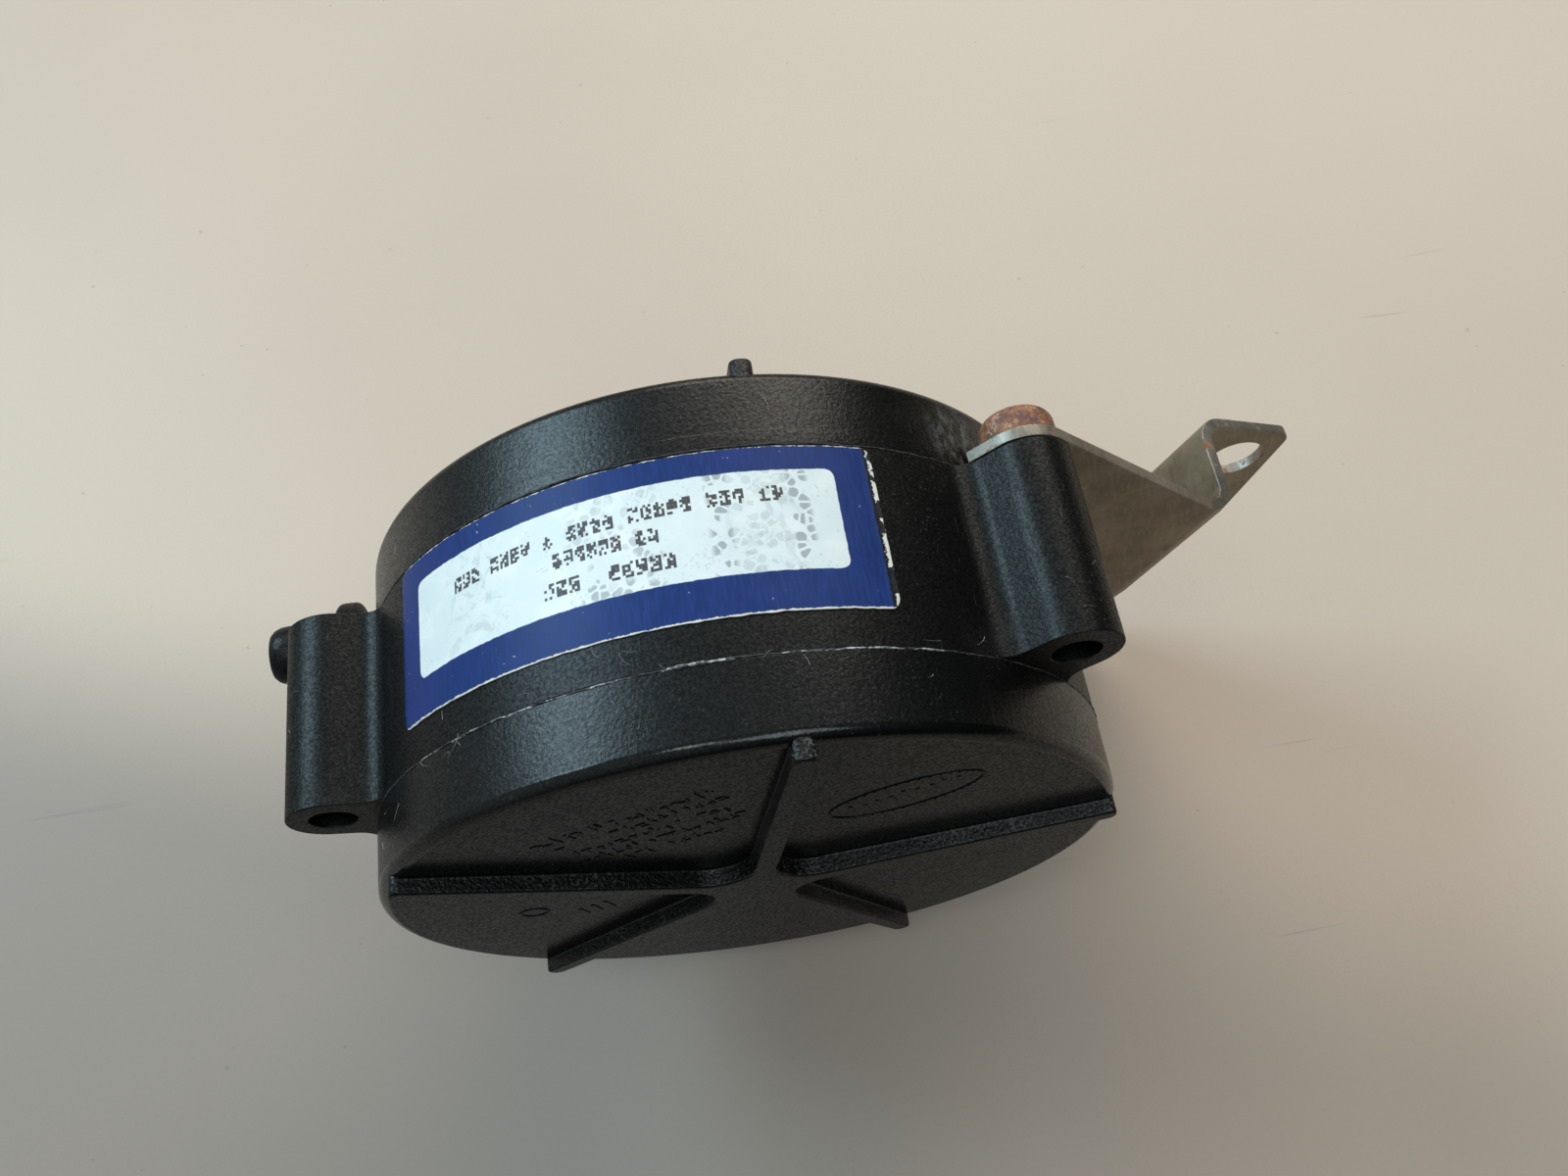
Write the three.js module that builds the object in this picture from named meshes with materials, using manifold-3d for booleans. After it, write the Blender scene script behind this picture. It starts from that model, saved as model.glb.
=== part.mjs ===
// Diaphragm vacuum switch: a round moulded housing standing on its lower boss and its steel bracket.
//
// Everything is first built in the switch's own frame, in millimetres: z runs along the housing's
// axis, out of the ribbed front cover, with z = 0 at the joint of front cover and middle housing;
// angles are measured about that axis from +x. The last lines stand the switch up: the axis lies
// along Y, the front cover faces -Y, and the origin is below the middle of the assembly.

import * as THREE from 'three';
import { mergeVertices } from 'three/addons/utils/BufferGeometryUtils.js';
import Module from 'manifold-3d';

const wasm = await Module();
wasm.setup();

// ---------------------------------------------------------------- driving dimensions

const GAP = 0.3; // clearance kept between pieces that touch
const RADIUS = 44.5; // outer radius of the stacked housing
const WALL = 2.5;
const ROUND_SEGMENTS = 64; // facets round the large cylinders
const SMALL_SEGMENTS = 20; // facets round pins, holes and screws

const FRONT_FLOOR_Z = 9.3; // flat of the front cover
const FRONT_RIB_TOP_Z = 11.6;
const HOUSING_REAR_Z = -24;
const REAR_FLOOR_Z = -33.9; // flat of the rear cover
const REAR_RIB_TOP_Z = -36.0;
const EDGE_FILLET = 1.5;
const REAR_STEP_DEPTH = 1.8; // lip of full radius beside the rear joint
const REAR_STEP_HEIGHT = 0.15;
const JOINT_HALF_GAP = GAP / 2;

const FRONT_RIB_COUNT = 5;
const REAR_RIB_COUNT = 3;
const RIB_FIRST_ANGLE = 70; // degrees
const RIB_WIDTH = 2.6;
const RIB_END_RADIUS = 44.2;
const RIB_CORNER_FILLET = 5; // between neighbouring arms, at the hub

const BOSS_ANGLES = [30, 150, 270];
const BOSS_CIRCLE_RADIUS = 49.3;
const BOSS_HALF_WIDTH = 5.25;
const BOSS_HOLE_RADIUS = 2.7;
const BOSS_ROOT_FILLET = 3;

const PARTITION_FRONT_Z = -7;
const PARTITION_REAR_Z = -9;
const CHAMBER_RADIUS = RADIUS - WALL - 0.5;
const CLAMP_RADIUS = 39; // inner radius of the flanges that hold the diaphragm
const BEAD_INNER_RADIUS = 40.2;
const BEAD_OUTER_RADIUS = 42.8;

const LABEL_START_ANGLE = 54;
const LABEL_END_ANGLE = 130;
const LABEL_FRONT_Z = -4.3;
const LABEL_REAR_Z = -23.6;
const LABEL_THICKNESS = 0.18;
const LABEL_STAND_OFF = 0.12;

const NIPPLE_ANGLE = 164;
const NIPPLE_Z = -27.3;
const NIPPLE_BORE_RADIUS = 1.6;
const NIPPLE_TIP_RADIUS = 58.4; // distance of the tip from the housing's axis

const SHEET = 1.5; // thickness of the bracket
const BRACKET_ANGLE = -34; // the direction in which the bracket steps outwards
const BRACKET_FOLD_RADIUS = 54; // distance from the axis to where the first bend starts
const BRACKET_BEND_RADIUS = 2.5; // inside radius
const BRACKET_TOP = 37.3; // ends of the folded flange, along the fold
const BRACKET_FOOT = -24.304;
const FLANGE_FRONT_Z = -37.4;
const FLANGE_END_RADIUS = 74;
const FLANGE_HOLE_RADIUS = 3.9;
const FLANGE_HOLE_REACH = 67.9;
const FLANGE_HOLE_INSET = 6.6; // from the ends of the flange

const SCREW_RADIUS = 2.35;
const SCREW_HEAD_RADIUS = 4.4;
const SCREW_HEAD_HEIGHT = 3.8;
const SCREW_LENGTH = 14;

const MECHANISM_ANGLE = 210; // direction from the axis towards the terminals
const PIN_RADIUS = 2;
const BLADE_WIDTH = 7;
const BLADE_THICKNESS = 0.4;
const BLADE_FRONT_Z = -15;
const BLADE_RIVET_REACH = 24; // the moving blade bends here
const CONTACT_REACH = 14; // on the far side of the axis
const CONTACT_RADIUS = 1.9;
const CONTACT_HEIGHT = 0.8;
const CONTACT_TRAVEL = 2.05; // open gap between the contacts
const TERMINAL_WIDTH = 6.35;
const TERMINAL_THICKNESS = 0.8;
const TERMINAL_PITCH = 16;
const RIVET_RADIUS = 1;
const RIVET_HEAD_RADIUS = 2;
const RIVET_HEAD_HEIGHT = 0.7;

const SPRING_RADIUS = 3.2;
const SPRING_WIRE = 0.3; // radius
const SPRING_TURNS = 5;
const SEAT_FRONT_Z = -23.8;
const SEAT_RADIUS = 4.4;
const CALIBRATION_RADIUS = 2.4;
const CALIBRATION_HEAD_Z = -34.6;

const STANDING_TILT = 7.5; // degrees the switch leans when it rests on its lower boss and bracket

// ---------------------------------------------------------------- materials

const material = (color, roughness, metalness) =>
  new THREE.MeshStandardMaterial({ color, roughness, metalness });

const blackPlastic = material(0x16181a, 0.42, 0);
const labelPaper = material(0x2a3f92, 0.5, 0);
const zincSteel = material(0x9a948a, 0.45, 0.8);
const rustySteel = material(0x8a4a30, 0.75, 0.4);
const siliconeRubber = material(0x9b3a2a, 0.7, 0);
const aluminium = material(0xb9bcc0, 0.4, 0.9);
const naturalPlastic = material(0xd8d2c0, 0.5, 0);
const springSteel = material(0xa8abad, 0.35, 0.9);
const bronze = material(0xb88746, 0.35, 0.9);
const brass = material(0xc7a24c, 0.35, 0.9);
const silver = material(0xd5d6d8, 0.3, 0.95);
const sinteredFilter = material(0x8c7a55, 0.9, 0.1);

// ---------------------------------------------------------------- helpers

const radians = THREE.MathUtils.degToRad;

function polar(radius, degrees) {
  return new THREE.Vector2(radius * Math.cos(radians(degrees)), radius * Math.sin(radians(degrees)));
}

// A manifold solid from a closed three.js geometry.
function solid(geometry) {
  const bare = geometry.clone();
  bare.deleteAttribute('normal');
  bare.deleteAttribute('uv');
  const merged = mergeVertices(bare, 1e-5);
  return new wasm.Manifold(new wasm.Mesh({
    numProp: 3,
    vertProperties: new Float32Array(merged.attributes.position.array),
    triVerts: new Uint32Array(merged.index.array),
  }));
}

function geometryOf(shape) {
  const mesh = shape.getMesh();
  const geometry = new THREE.BufferGeometry();
  geometry.setAttribute('position', new THREE.BufferAttribute(mesh.vertProperties, 3));
  geometry.setIndex(new THREE.BufferAttribute(mesh.triVerts, 1));
  geometry.computeVertexNormals();
  return geometry;
}

function named(name, shape, finish) {
  const mesh = new THREE.Mesh(geometryOf(shape), finish);
  mesh.name = name;
  return mesh;
}

// Turns [radius, z] points, counter-clockwise round the material, about the z axis.
function turned(points, segments = ROUND_SEGMENTS) {
  const profile = points.map(([r, z]) => new THREE.Vector2(r, z));
  return solid(new THREE.LatheGeometry(profile, segments).rotateX(Math.PI / 2));
}

// A flat outline in x and y, given thickness from z0 to z1.
function prism(outline, z0, z1, curveSegments = 6) {
  const options = { depth: z1 - z0, bevelEnabled: false, curveSegments };
  return solid(new THREE.ExtrudeGeometry(outline, options).translate(0, 0, z0));
}

function box(x0, x1, y0, y1, z0, z1) {
  const geometry = new THREE.BoxGeometry(x1 - x0, y1 - y0, z1 - z0);
  return solid(geometry.translate((x0 + x1) / 2, (y0 + y1) / 2, (z0 + z1) / 2));
}

function rod(radius, z0, z1, x = 0, y = 0, segments = SMALL_SEGMENTS) {
  const geometry = new THREE.CylinderGeometry(radius, radius, z1 - z0, segments);
  return solid(geometry.rotateX(Math.PI / 2).translate(x, y, (z0 + z1) / 2));
}

function turnedTo(shape, degrees) {
  return shape.rotate([0, 0, degrees]);
}

// Points on a quarter round of the given radius, from angle a to angle b in degrees.
function corner(r, z, radius, a, b, steps = 3) {
  return Array.from({ length: steps + 1 }, (_, i) => {
    const point = polar(radius, a + ((b - a) * i) / steps);
    return [r + point.x, z + point.y];
  });
}

// ---------------------------------------------------------------- moulded housing

// The star of ribs on a cover: straight arms, rounded into each other at the hub.
function starOutline(armCount) {
  const outline = new THREE.Shape();
  const step = 360 / armCount;
  const half = RIB_WIDTH / 2;
  const filletCentre = (half + RIB_CORNER_FILLET) / Math.sin(radians(step / 2));
  for (let arm = 0; arm < armCount; arm += 1) {
    const angle = RIB_FIRST_ANGLE + arm * step;
    const along = polar(1, angle);
    const across = polar(half, angle + 90);
    const end = along.clone().multiplyScalar(RIB_END_RADIUS);
    const right = end.clone().sub(across);
    const left = end.clone().add(across);
    if (arm === 0) outline.moveTo(right.x, right.y);
    else outline.lineTo(right.x, right.y);
    outline.lineTo(left.x, left.y);
    const bisector = angle + step / 2;
    const centre = polar(filletCentre, bisector);
    const from = radians(angle - 90);
    const to = radians(angle + step + 90);
    outline.absarc(centre.x, centre.y, RIB_CORNER_FILLET, from, to - 2 * Math.PI, true);
  }
  outline.closePath();
  return outline;
}

function frontCover() {
  const fillet = corner(RADIUS - EDGE_FILLET, FRONT_FLOOR_Z - EDGE_FILLET, EDGE_FILLET, 0, 90);
  const shell = turned([
    [0, FRONT_FLOOR_Z - WALL],
    [CHAMBER_RADIUS, FRONT_FLOOR_Z - WALL],
    [CHAMBER_RADIUS, 3],
    [CLAMP_RADIUS, 3],
    [CLAMP_RADIUS, 0.6],
    [BEAD_INNER_RADIUS, 0.6],
    [BEAD_INNER_RADIUS, 1.2],
    [BEAD_OUTER_RADIUS, 1.2],
    [BEAD_OUTER_RADIUS, JOINT_HALF_GAP],
    [RADIUS, JOINT_HALF_GAP],
    ...fillet,
    [0, FRONT_FLOOR_Z],
  ]);
  const star = prism(starOutline(FRONT_RIB_COUNT), FRONT_FLOOR_Z - EDGE_FILLET, FRONT_RIB_TOP_Z);
  return shell.add(star).subtract(ventBore(1.7));
}

// The vent leads through the front cover's wall at its lowest, hidden side.
const VENT_ANGLE = 250;
const VENT_Z = 5.2;
function ventBore(radius) {
  const geometry = new THREE.CylinderGeometry(radius, radius, 8, 16);
  return turnedTo(solid(geometry.rotateZ(Math.PI / 2).translate(RADIUS - 1, 0, VENT_Z)), VENT_ANGLE);
}

function ventFilter() {
  const geometry = new THREE.CylinderGeometry(1.4, 1.4, 1.6, 16);
  return turnedTo(solid(geometry.rotateZ(Math.PI / 2).translate(RADIUS - 1.6, 0, VENT_Z)), VENT_ANGLE);
}

// One boss: straight sides, a round end, and fillets where it meets the cylinder.
function bossOutline() {
  const outline = new THREE.Shape();
  const side = BOSS_HALF_WIDTH;
  const filletY = side + BOSS_ROOT_FILLET;
  const filletX = Math.sqrt((RADIUS + BOSS_ROOT_FILLET) ** 2 - filletY ** 2);
  const touch = Math.atan2(filletY, filletX);
  outline.moveTo(40, -filletY * 0.85);
  outline.lineTo(RADIUS * Math.cos(touch) - 0.05, -RADIUS * Math.sin(touch));
  outline.absarc(filletX, -filletY, BOSS_ROOT_FILLET, Math.PI - touch, Math.PI / 2, true);
  outline.absarc(BOSS_CIRCLE_RADIUS, 0, side, -Math.PI / 2, Math.PI / 2, false);
  outline.absarc(filletX, filletY, BOSS_ROOT_FILLET, -Math.PI / 2, touch - Math.PI, true);
  outline.lineTo(40 + 0.05, filletY * 0.85);
  outline.closePath();
  return outline;
}

function middleHousing() {
  const rearZ = HOUSING_REAR_Z + JOINT_HALF_GAP;
  const guideRadius = PIN_RADIUS + GAP;
  let ring = turned([
    [guideRadius, -12],
    [5, -12],
    [5, PARTITION_REAR_Z],
    [CHAMBER_RADIUS, PARTITION_REAR_Z],
    [CHAMBER_RADIUS, rearZ],
    [RADIUS, rearZ],
    [RADIUS, -JOINT_HALF_GAP],
    [BEAD_OUTER_RADIUS, -JOINT_HALF_GAP],
    [BEAD_OUTER_RADIUS, -1.2],
    [BEAD_INNER_RADIUS, -1.2],
    [BEAD_INNER_RADIUS, -0.6],
    [CLAMP_RADIUS, -0.6],
    [CLAMP_RADIUS, -3],
    [CHAMBER_RADIUS, -3],
    [CHAMBER_RADIUS, PARTITION_FRONT_Z],
    [guideRadius, PARTITION_FRONT_Z],
    [guideRadius, -12],
  ]);
  for (const angle of BOSS_ANGLES) {
    const boss = prism(bossOutline(), rearZ, -JOINT_HALF_GAP);
    const inside = rod(RADIUS - 1, -40, 10, 0, 0, ROUND_SEGMENTS);
    const hole = rod(BOSS_HOLE_RADIUS, -40, 10, BOSS_CIRCLE_RADIUS, 0);
    ring = ring.add(turnedTo(boss, angle).subtract(inside));
    ring = ring.subtract(turnedTo(hole, angle));
  }
  for (const angle of [0, 120, 240]) {
    const passage = polar(22, angle + 90);
    ring = ring.subtract(rod(2, PARTITION_REAR_Z - 1, PARTITION_FRONT_Z + 1, passage.x, passage.y));
  }
  for (const [y, top] of [[0, COMMON_TOP_Z], [TERMINAL_PITCH, OPEN_TOP_Z]]) {
    const half = TERMINAL_WIDTH / 2 + GAP;
    const slot = box(30, 50, y - half, y + half, top - TERMINAL_THICKNESS - GAP, top + GAP);
    ring = ring.subtract(turnedTo(slot, MECHANISM_ANGLE));
  }
  return ring;
}

// The hose nipple stands out of the rear cover's side: neck, stop ring and a round-nosed barb.
function nipple() {
  const rootX = RADIUS - WALL;
  const tip = NIPPLE_TIP_RADIUS;
  const profile = [
    [0, rootX],
    [3.1, rootX],
    [3.1, RADIUS + 1.8],
    [5.4, RADIUS + 2],
    [6, RADIUS + 2.8],
    [6, RADIUS + 4],
    [5.4, RADIUS + 5],
    [3.1, RADIUS + 5.3],
    [3.1, tip - 5],
    [3.85, tip - 4.2],
    [3.85, tip - 1.8],
    [3.3, tip - 0.5],
    [2.5, tip],
    [0, tip],
  ];
  const points = profile.map(([r, x]) => new THREE.Vector2(r, x));
  const geometry = new THREE.LatheGeometry(points, SMALL_SEGMENTS).rotateZ(-Math.PI / 2);
  return turnedTo(solid(geometry.translate(0, 0, NIPPLE_Z)), NIPPLE_ANGLE);
}

function nippleBore() {
  const geometry = new THREE.CylinderGeometry(NIPPLE_BORE_RADIUS, NIPPLE_BORE_RADIUS, 24, 16);
  return turnedTo(solid(geometry.rotateZ(Math.PI / 2).translate(50, 0, NIPPLE_Z)), NIPPLE_ANGLE);
}

function rearCover() {
  const frontZ = HOUSING_REAR_Z - JOINT_HALF_GAP;
  const bodyRadius = RADIUS - REAR_STEP_HEIGHT;
  const fillet = corner(bodyRadius - EDGE_FILLET, REAR_FLOOR_Z + EDGE_FILLET, EDGE_FILLET, -90, 0);
  const screwBore = CALIBRATION_RADIUS + GAP;
  const shell = turned([
    [screwBore, REAR_FLOOR_Z],
    ...fillet,
    [bodyRadius, frontZ - REAR_STEP_DEPTH],
    [RADIUS, frontZ - REAR_STEP_DEPTH],
    [RADIUS, frontZ],
    [CHAMBER_RADIUS, frontZ],
    [CHAMBER_RADIUS, REAR_FLOOR_Z + WALL],
    [6, REAR_FLOOR_Z + WALL],
    [6, -27.8],
    [screwBore, -27.8],
    [screwBore, REAR_FLOOR_Z],
  ]);
  const star = prism(starOutline(REAR_RIB_COUNT), REAR_RIB_TOP_Z, REAR_FLOOR_Z + EDGE_FILLET);
  const hub = rod(8.5, REAR_RIB_TOP_Z, REAR_FLOOR_Z + 1, 0, 0, 32);
  return shell
    .add(star)
    .add(hub)
    .add(nipple())
    .subtract(rod(screwBore, REAR_RIB_TOP_Z - 1, -20))
    .subtract(nippleBore());
}

function portRestrictor() {
  const profile = [[0.4, 45], [1.3, 45], [1.3, 48], [0.4, 48], [0.4, 45]];
  const points = profile.map(([r, x]) => new THREE.Vector2(r, x));
  const geometry = new THREE.LatheGeometry(points, 12).rotateZ(-Math.PI / 2);
  return turnedTo(solid(geometry.translate(0, 0, NIPPLE_Z)), NIPPLE_ANGLE);
}

function label() {
  const inner = RADIUS + LABEL_STAND_OFF;
  const outer = inner + LABEL_THICKNESS;
  const outline = new THREE.Shape();
  outline.absarc(0, 0, outer, radians(LABEL_START_ANGLE), radians(LABEL_END_ANGLE), false);
  outline.absarc(0, 0, inner, radians(LABEL_END_ANGLE), radians(LABEL_START_ANGLE), true);
  outline.closePath();
  return prism(outline, LABEL_REAR_Z, LABEL_FRONT_Z, 26);
}

// ---------------------------------------------------------------- bracket and its screws

const TAB_FRONT_Z = HOUSING_REAR_Z + JOINT_HALF_GAP - GAP;
const TAB_REAR_Z = TAB_FRONT_Z - SHEET;

// In the bracket's frame x points outwards from the housing and y runs along the folds.
const upperBoss = polar(BOSS_CIRCLE_RADIUS, BOSS_ANGLES[0] - BRACKET_ANGLE);
const lowerBoss = polar(BOSS_CIRCLE_RADIUS, BOSS_ANGLES[2] - BRACKET_ANGLE);

// The plate that lies on both boss ends, before the housing's circle is cut out of it.
function bracketPlate() {
  const tab = BOSS_HALF_WIDTH - 0.1;
  const upperSide = BOSS_ANGLES[0] - BRACKET_ANGLE + 90;
  const lowerSide = BOSS_ANGLES[2] - BRACKET_ANGLE - 90;
  const upperRoot = polar(40, BOSS_ANGLES[0] - BRACKET_ANGLE).add(polar(tab, upperSide));
  const lowerRoot = polar(40, BOSS_ANGLES[2] - BRACKET_ANGLE).add(polar(tab, lowerSide));
  const shoulder = Math.atan2(BRACKET_TOP - upperBoss.y, BRACKET_FOLD_RADIUS - upperBoss.x);
  const upperReach = upperBoss.distanceTo(new THREE.Vector2(BRACKET_FOLD_RADIUS, BRACKET_TOP));
  const upperTangent = shoulder + Math.acos(tab / upperReach);
  const heel = Math.atan2(BRACKET_FOOT - lowerBoss.y, BRACKET_FOLD_RADIUS - lowerBoss.x);
  const lowerReach = lowerBoss.distanceTo(new THREE.Vector2(BRACKET_FOLD_RADIUS, BRACKET_FOOT));
  const lowerTangent = heel - Math.acos(tab / lowerReach);
  const outline = new THREE.Shape();
  outline.moveTo(30, 0);
  outline.lineTo(lowerRoot.x, lowerRoot.y);
  outline.absarc(lowerBoss.x, lowerBoss.y, tab, radians(lowerSide), lowerTangent, false);
  outline.lineTo(BRACKET_FOLD_RADIUS + 0.01, BRACKET_FOOT);
  outline.lineTo(BRACKET_FOLD_RADIUS + 0.01, BRACKET_TOP);
  outline.absarc(upperBoss.x, upperBoss.y, tab, upperTangent, radians(upperSide), false);
  outline.lineTo(upperRoot.x, upperRoot.y);
  outline.closePath();
  return prism(outline, TAB_REAR_Z, TAB_FRONT_Z);
}

// The two bends, the web between them and the flange, as one strip of sheet.
function bracketStrip() {
  const inside = BRACKET_BEND_RADIUS;
  const outside = inside + SHEET;
  const fold = BRACKET_FOLD_RADIUS;
  const webFront = fold + inside;
  const webBack = fold + outside;
  const flangeRearZ = FLANGE_FRONT_Z - SHEET;
  const section = new THREE.Shape();
  section.moveTo(fold - 4, TAB_FRONT_Z);
  section.lineTo(fold - 4, TAB_REAR_Z);
  section.absarc(fold, TAB_REAR_Z - inside, inside, Math.PI / 2, 0, true);
  section.absarc(webFront + outside, flangeRearZ + outside, outside, Math.PI, 1.5 * Math.PI, false);
  section.lineTo(FLANGE_END_RADIUS + 3, flangeRearZ);
  section.lineTo(FLANGE_END_RADIUS + 3, FLANGE_FRONT_Z);
  section.absarc(webBack + inside, FLANGE_FRONT_Z + inside, inside, 1.5 * Math.PI, Math.PI, true);
  section.absarc(fold, TAB_FRONT_Z - outside, outside, 0, Math.PI / 2, false);
  section.closePath();
  const width = BRACKET_TOP - BRACKET_FOOT;
  const strip = new THREE.ExtrudeGeometry(section, { depth: width, bevelEnabled: false, curveSegments: 6 });
  // The section's x and y become x and z, and the width runs along y.
  return solid(strip.rotateX(Math.PI / 2).translate(0, BRACKET_TOP, 0));
}

// What the flange keeps: its free edge tapers towards the upper end, and its corners are round.
function flangeOutline() {
  const outline = new THREE.Shape();
  const upperEnd = FLANGE_END_RADIUS - 1.2;
  const wide = FLANGE_END_RADIUS + 2;
  const round = 2;
  outline.moveTo(BRACKET_FOLD_RADIUS - 10, BRACKET_FOOT);
  outline.lineTo(FLANGE_END_RADIUS - round, BRACKET_FOOT);
  outline.absarc(FLANGE_END_RADIUS - round, BRACKET_FOOT + round, round, -Math.PI / 2, 0, false);
  outline.lineTo(wide, BRACKET_FOOT + 16);
  outline.lineTo(wide, BRACKET_TOP - 20);
  outline.absarc(upperEnd - round, BRACKET_TOP - round, round, radians(9), Math.PI / 2, false);
  outline.lineTo(BRACKET_FOLD_RADIUS - 10, BRACKET_TOP + 1);
  outline.closePath();
  return outline;
}

function bracket() {
  const keep = prism(flangeOutline(), FLANGE_FRONT_Z - 10, TAB_FRONT_Z + 5);
  let plate = bracketPlate().add(bracketStrip().intersect(keep));
  plate = plate.subtract(rod(RADIUS + 1, -60, 10, 0, 0, ROUND_SEGMENTS));
  for (const boss of [upperBoss, lowerBoss]) {
    plate = plate.subtract(rod(BOSS_HOLE_RADIUS, -60, 10, boss.x, boss.y));
  }
  for (const y of [BRACKET_TOP - FLANGE_HOLE_INSET, BRACKET_FOOT + FLANGE_HOLE_INSET]) {
    plate = plate.subtract(rod(FLANGE_HOLE_RADIUS, -60, -30, FLANGE_HOLE_REACH, y, 32));
  }
  return turnedTo(plate, BRACKET_ANGLE);
}

// A pan-head screw, its head behind the bracket tab and a cross recess in the head.
function bracketScrew(angle) {
  const seatZ = TAB_REAR_Z - GAP;
  const topZ = seatZ - SCREW_HEAD_HEIGHT;
  const round = 1.6;
  const head = corner(SCREW_HEAD_RADIUS - round, topZ + round, round, -90, 0);
  const body = turned([
    [0, topZ],
    ...head,
    [SCREW_HEAD_RADIUS, seatZ],
    [SCREW_RADIUS, seatZ],
    [SCREW_RADIUS, seatZ + SCREW_LENGTH - 1.5],
    [1.2, seatZ + SCREW_LENGTH],
    [0, seatZ + SCREW_LENGTH],
  ], SMALL_SEGMENTS);
  const slot = box(-2.3, 2.3, -0.45, 0.45, topZ - 1, topZ + 1.8);
  const recessed = body.subtract(slot).subtract(turnedTo(slot, 90));
  return turnedTo(recessed.translate([BOSS_CIRCLE_RADIUS, 0, 0]), angle);
}

// ---------------------------------------------------------------- diaphragm assembly

function diaphragm() {
  const half = 0.3;
  const fold = 3; // radius of the rolling fold
  const foldRadius = 35.2;
  const front = corner(foldRadius, half, fold + half, 180, 0, 5);
  const back = corner(foldRadius, half, fold - half, 180, 0, 5);
  return turned([
    [2, -half],
    [foldRadius - fold + half, -half],
    ...back,
    [foldRadius + fold - half, -half],
    [40.5, -half],
    [40.5, -0.9],
    [42.5, -0.9],
    [42.5, 0.9],
    [40.5, 0.9],
    [40.5, half],
    ...front.reverse(),
    [2, half],
    [2, -half],
  ], 48);
}

// Plate and hub behind the diaphragm; a stud passes forward through the diaphragm's centre.
function diaphragmPlate() {
  return turned([
    [0, -1.8],
    [2.3, -1.8],
    [2.3, -5],
    [4.2, -5],
    [4.2, -1.8],
    [31, -1.8],
    [31, -0.6],
    [1.6, -0.6],
    [1.6, 2.2],
    [0, 2.2],
  ], 36);
}

// The rest stop of the travel: its boss stands just off the front cover.
function diaphragmRetainer() {
  const top = FRONT_FLOOR_Z - WALL - GAP;
  return turned([
    [1.9, 0.6],
    [28, 0.6],
    [28, 1.6],
    [5, 1.6],
    [5, top],
    [1.9, top],
    [1.9, 0.6],
  ], 36);
}

function actuatorPin() {
  return turned([
    [0, BLADE_FRONT_Z - 2.8],
    [1.1, BLADE_FRONT_Z - 2.8],
    [1.1, BLADE_FRONT_Z + GAP],
    [PIN_RADIUS, BLADE_FRONT_Z + GAP],
    [PIN_RADIUS, -2.2],
    [0, -2.2],
  ], SMALL_SEGMENTS);
}

// ---------------------------------------------------------------- contacts and terminals

// These are laid out along x, towards the terminals, and then turned to MECHANISM_ANGLE.
const BLADE_REAR_Z = BLADE_FRONT_Z - BLADE_THICKNESS;
const COMMON_TOP_Z = BLADE_REAR_Z - GAP;
const MOVING_CONTACT_TOP_Z = BLADE_REAR_Z - GAP;
const FIXED_CONTACT_TOP_Z = MOVING_CONTACT_TOP_Z - CONTACT_HEIGHT - CONTACT_TRAVEL;
const FIXED_BLADE_TOP_Z = FIXED_CONTACT_TOP_Z - CONTACT_HEIGHT - GAP;
const OPEN_TOP_Z = FIXED_BLADE_TOP_Z - BLADE_THICKNESS - GAP;

function movingBlade() {
  const half = BLADE_WIDTH / 2;
  const outline = new THREE.Shape();
  outline.moveTo(BLADE_RIVET_REACH + 3, -half);
  outline.lineTo(BLADE_RIVET_REACH + 3, half);
  outline.lineTo(-6, half);
  outline.lineTo(-CONTACT_REACH, 2.4);
  outline.absarc(-CONTACT_REACH, 0, 2.4, Math.PI / 2, 1.5 * Math.PI, false);
  outline.lineTo(-6, -half);
  outline.closePath();
  const strip = prism(outline, BLADE_REAR_Z, BLADE_FRONT_Z)
    .subtract(rod(1.5, -30, 0))
    .subtract(rod(RIVET_RADIUS + GAP, -30, 0, BLADE_RIVET_REACH, 0, 16));
  return turnedTo(strip, MECHANISM_ANGLE);
}

function contactButton(topZ) {
  return turnedTo(rod(CONTACT_RADIUS, topZ - CONTACT_HEIGHT, topZ, -CONTACT_REACH, 0), MECHANISM_ANGLE);
}

// An angled strip from under the moving contact, round the spring, to the second terminal.
function fixedBlade() {
  const half = 2.6;
  const outline = new THREE.Shape();
  outline.moveTo(-CONTACT_REACH - half, -half);
  outline.lineTo(-CONTACT_REACH + half, -half);
  outline.lineTo(-CONTACT_REACH + half, TERMINAL_PITCH - half);
  outline.lineTo(BLADE_RIVET_REACH + 3, TERMINAL_PITCH - half);
  outline.lineTo(BLADE_RIVET_REACH + 3, TERMINAL_PITCH + half);
  outline.lineTo(-CONTACT_REACH - half, TERMINAL_PITCH + half);
  outline.closePath();
  const strip = prism(outline, FIXED_BLADE_TOP_Z - BLADE_THICKNESS, FIXED_BLADE_TOP_Z)
    .subtract(rod(RIVET_RADIUS + GAP, -30, 0, BLADE_RIVET_REACH, TERMINAL_PITCH, 16));
  return turnedTo(strip, MECHANISM_ANGLE);
}

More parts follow.
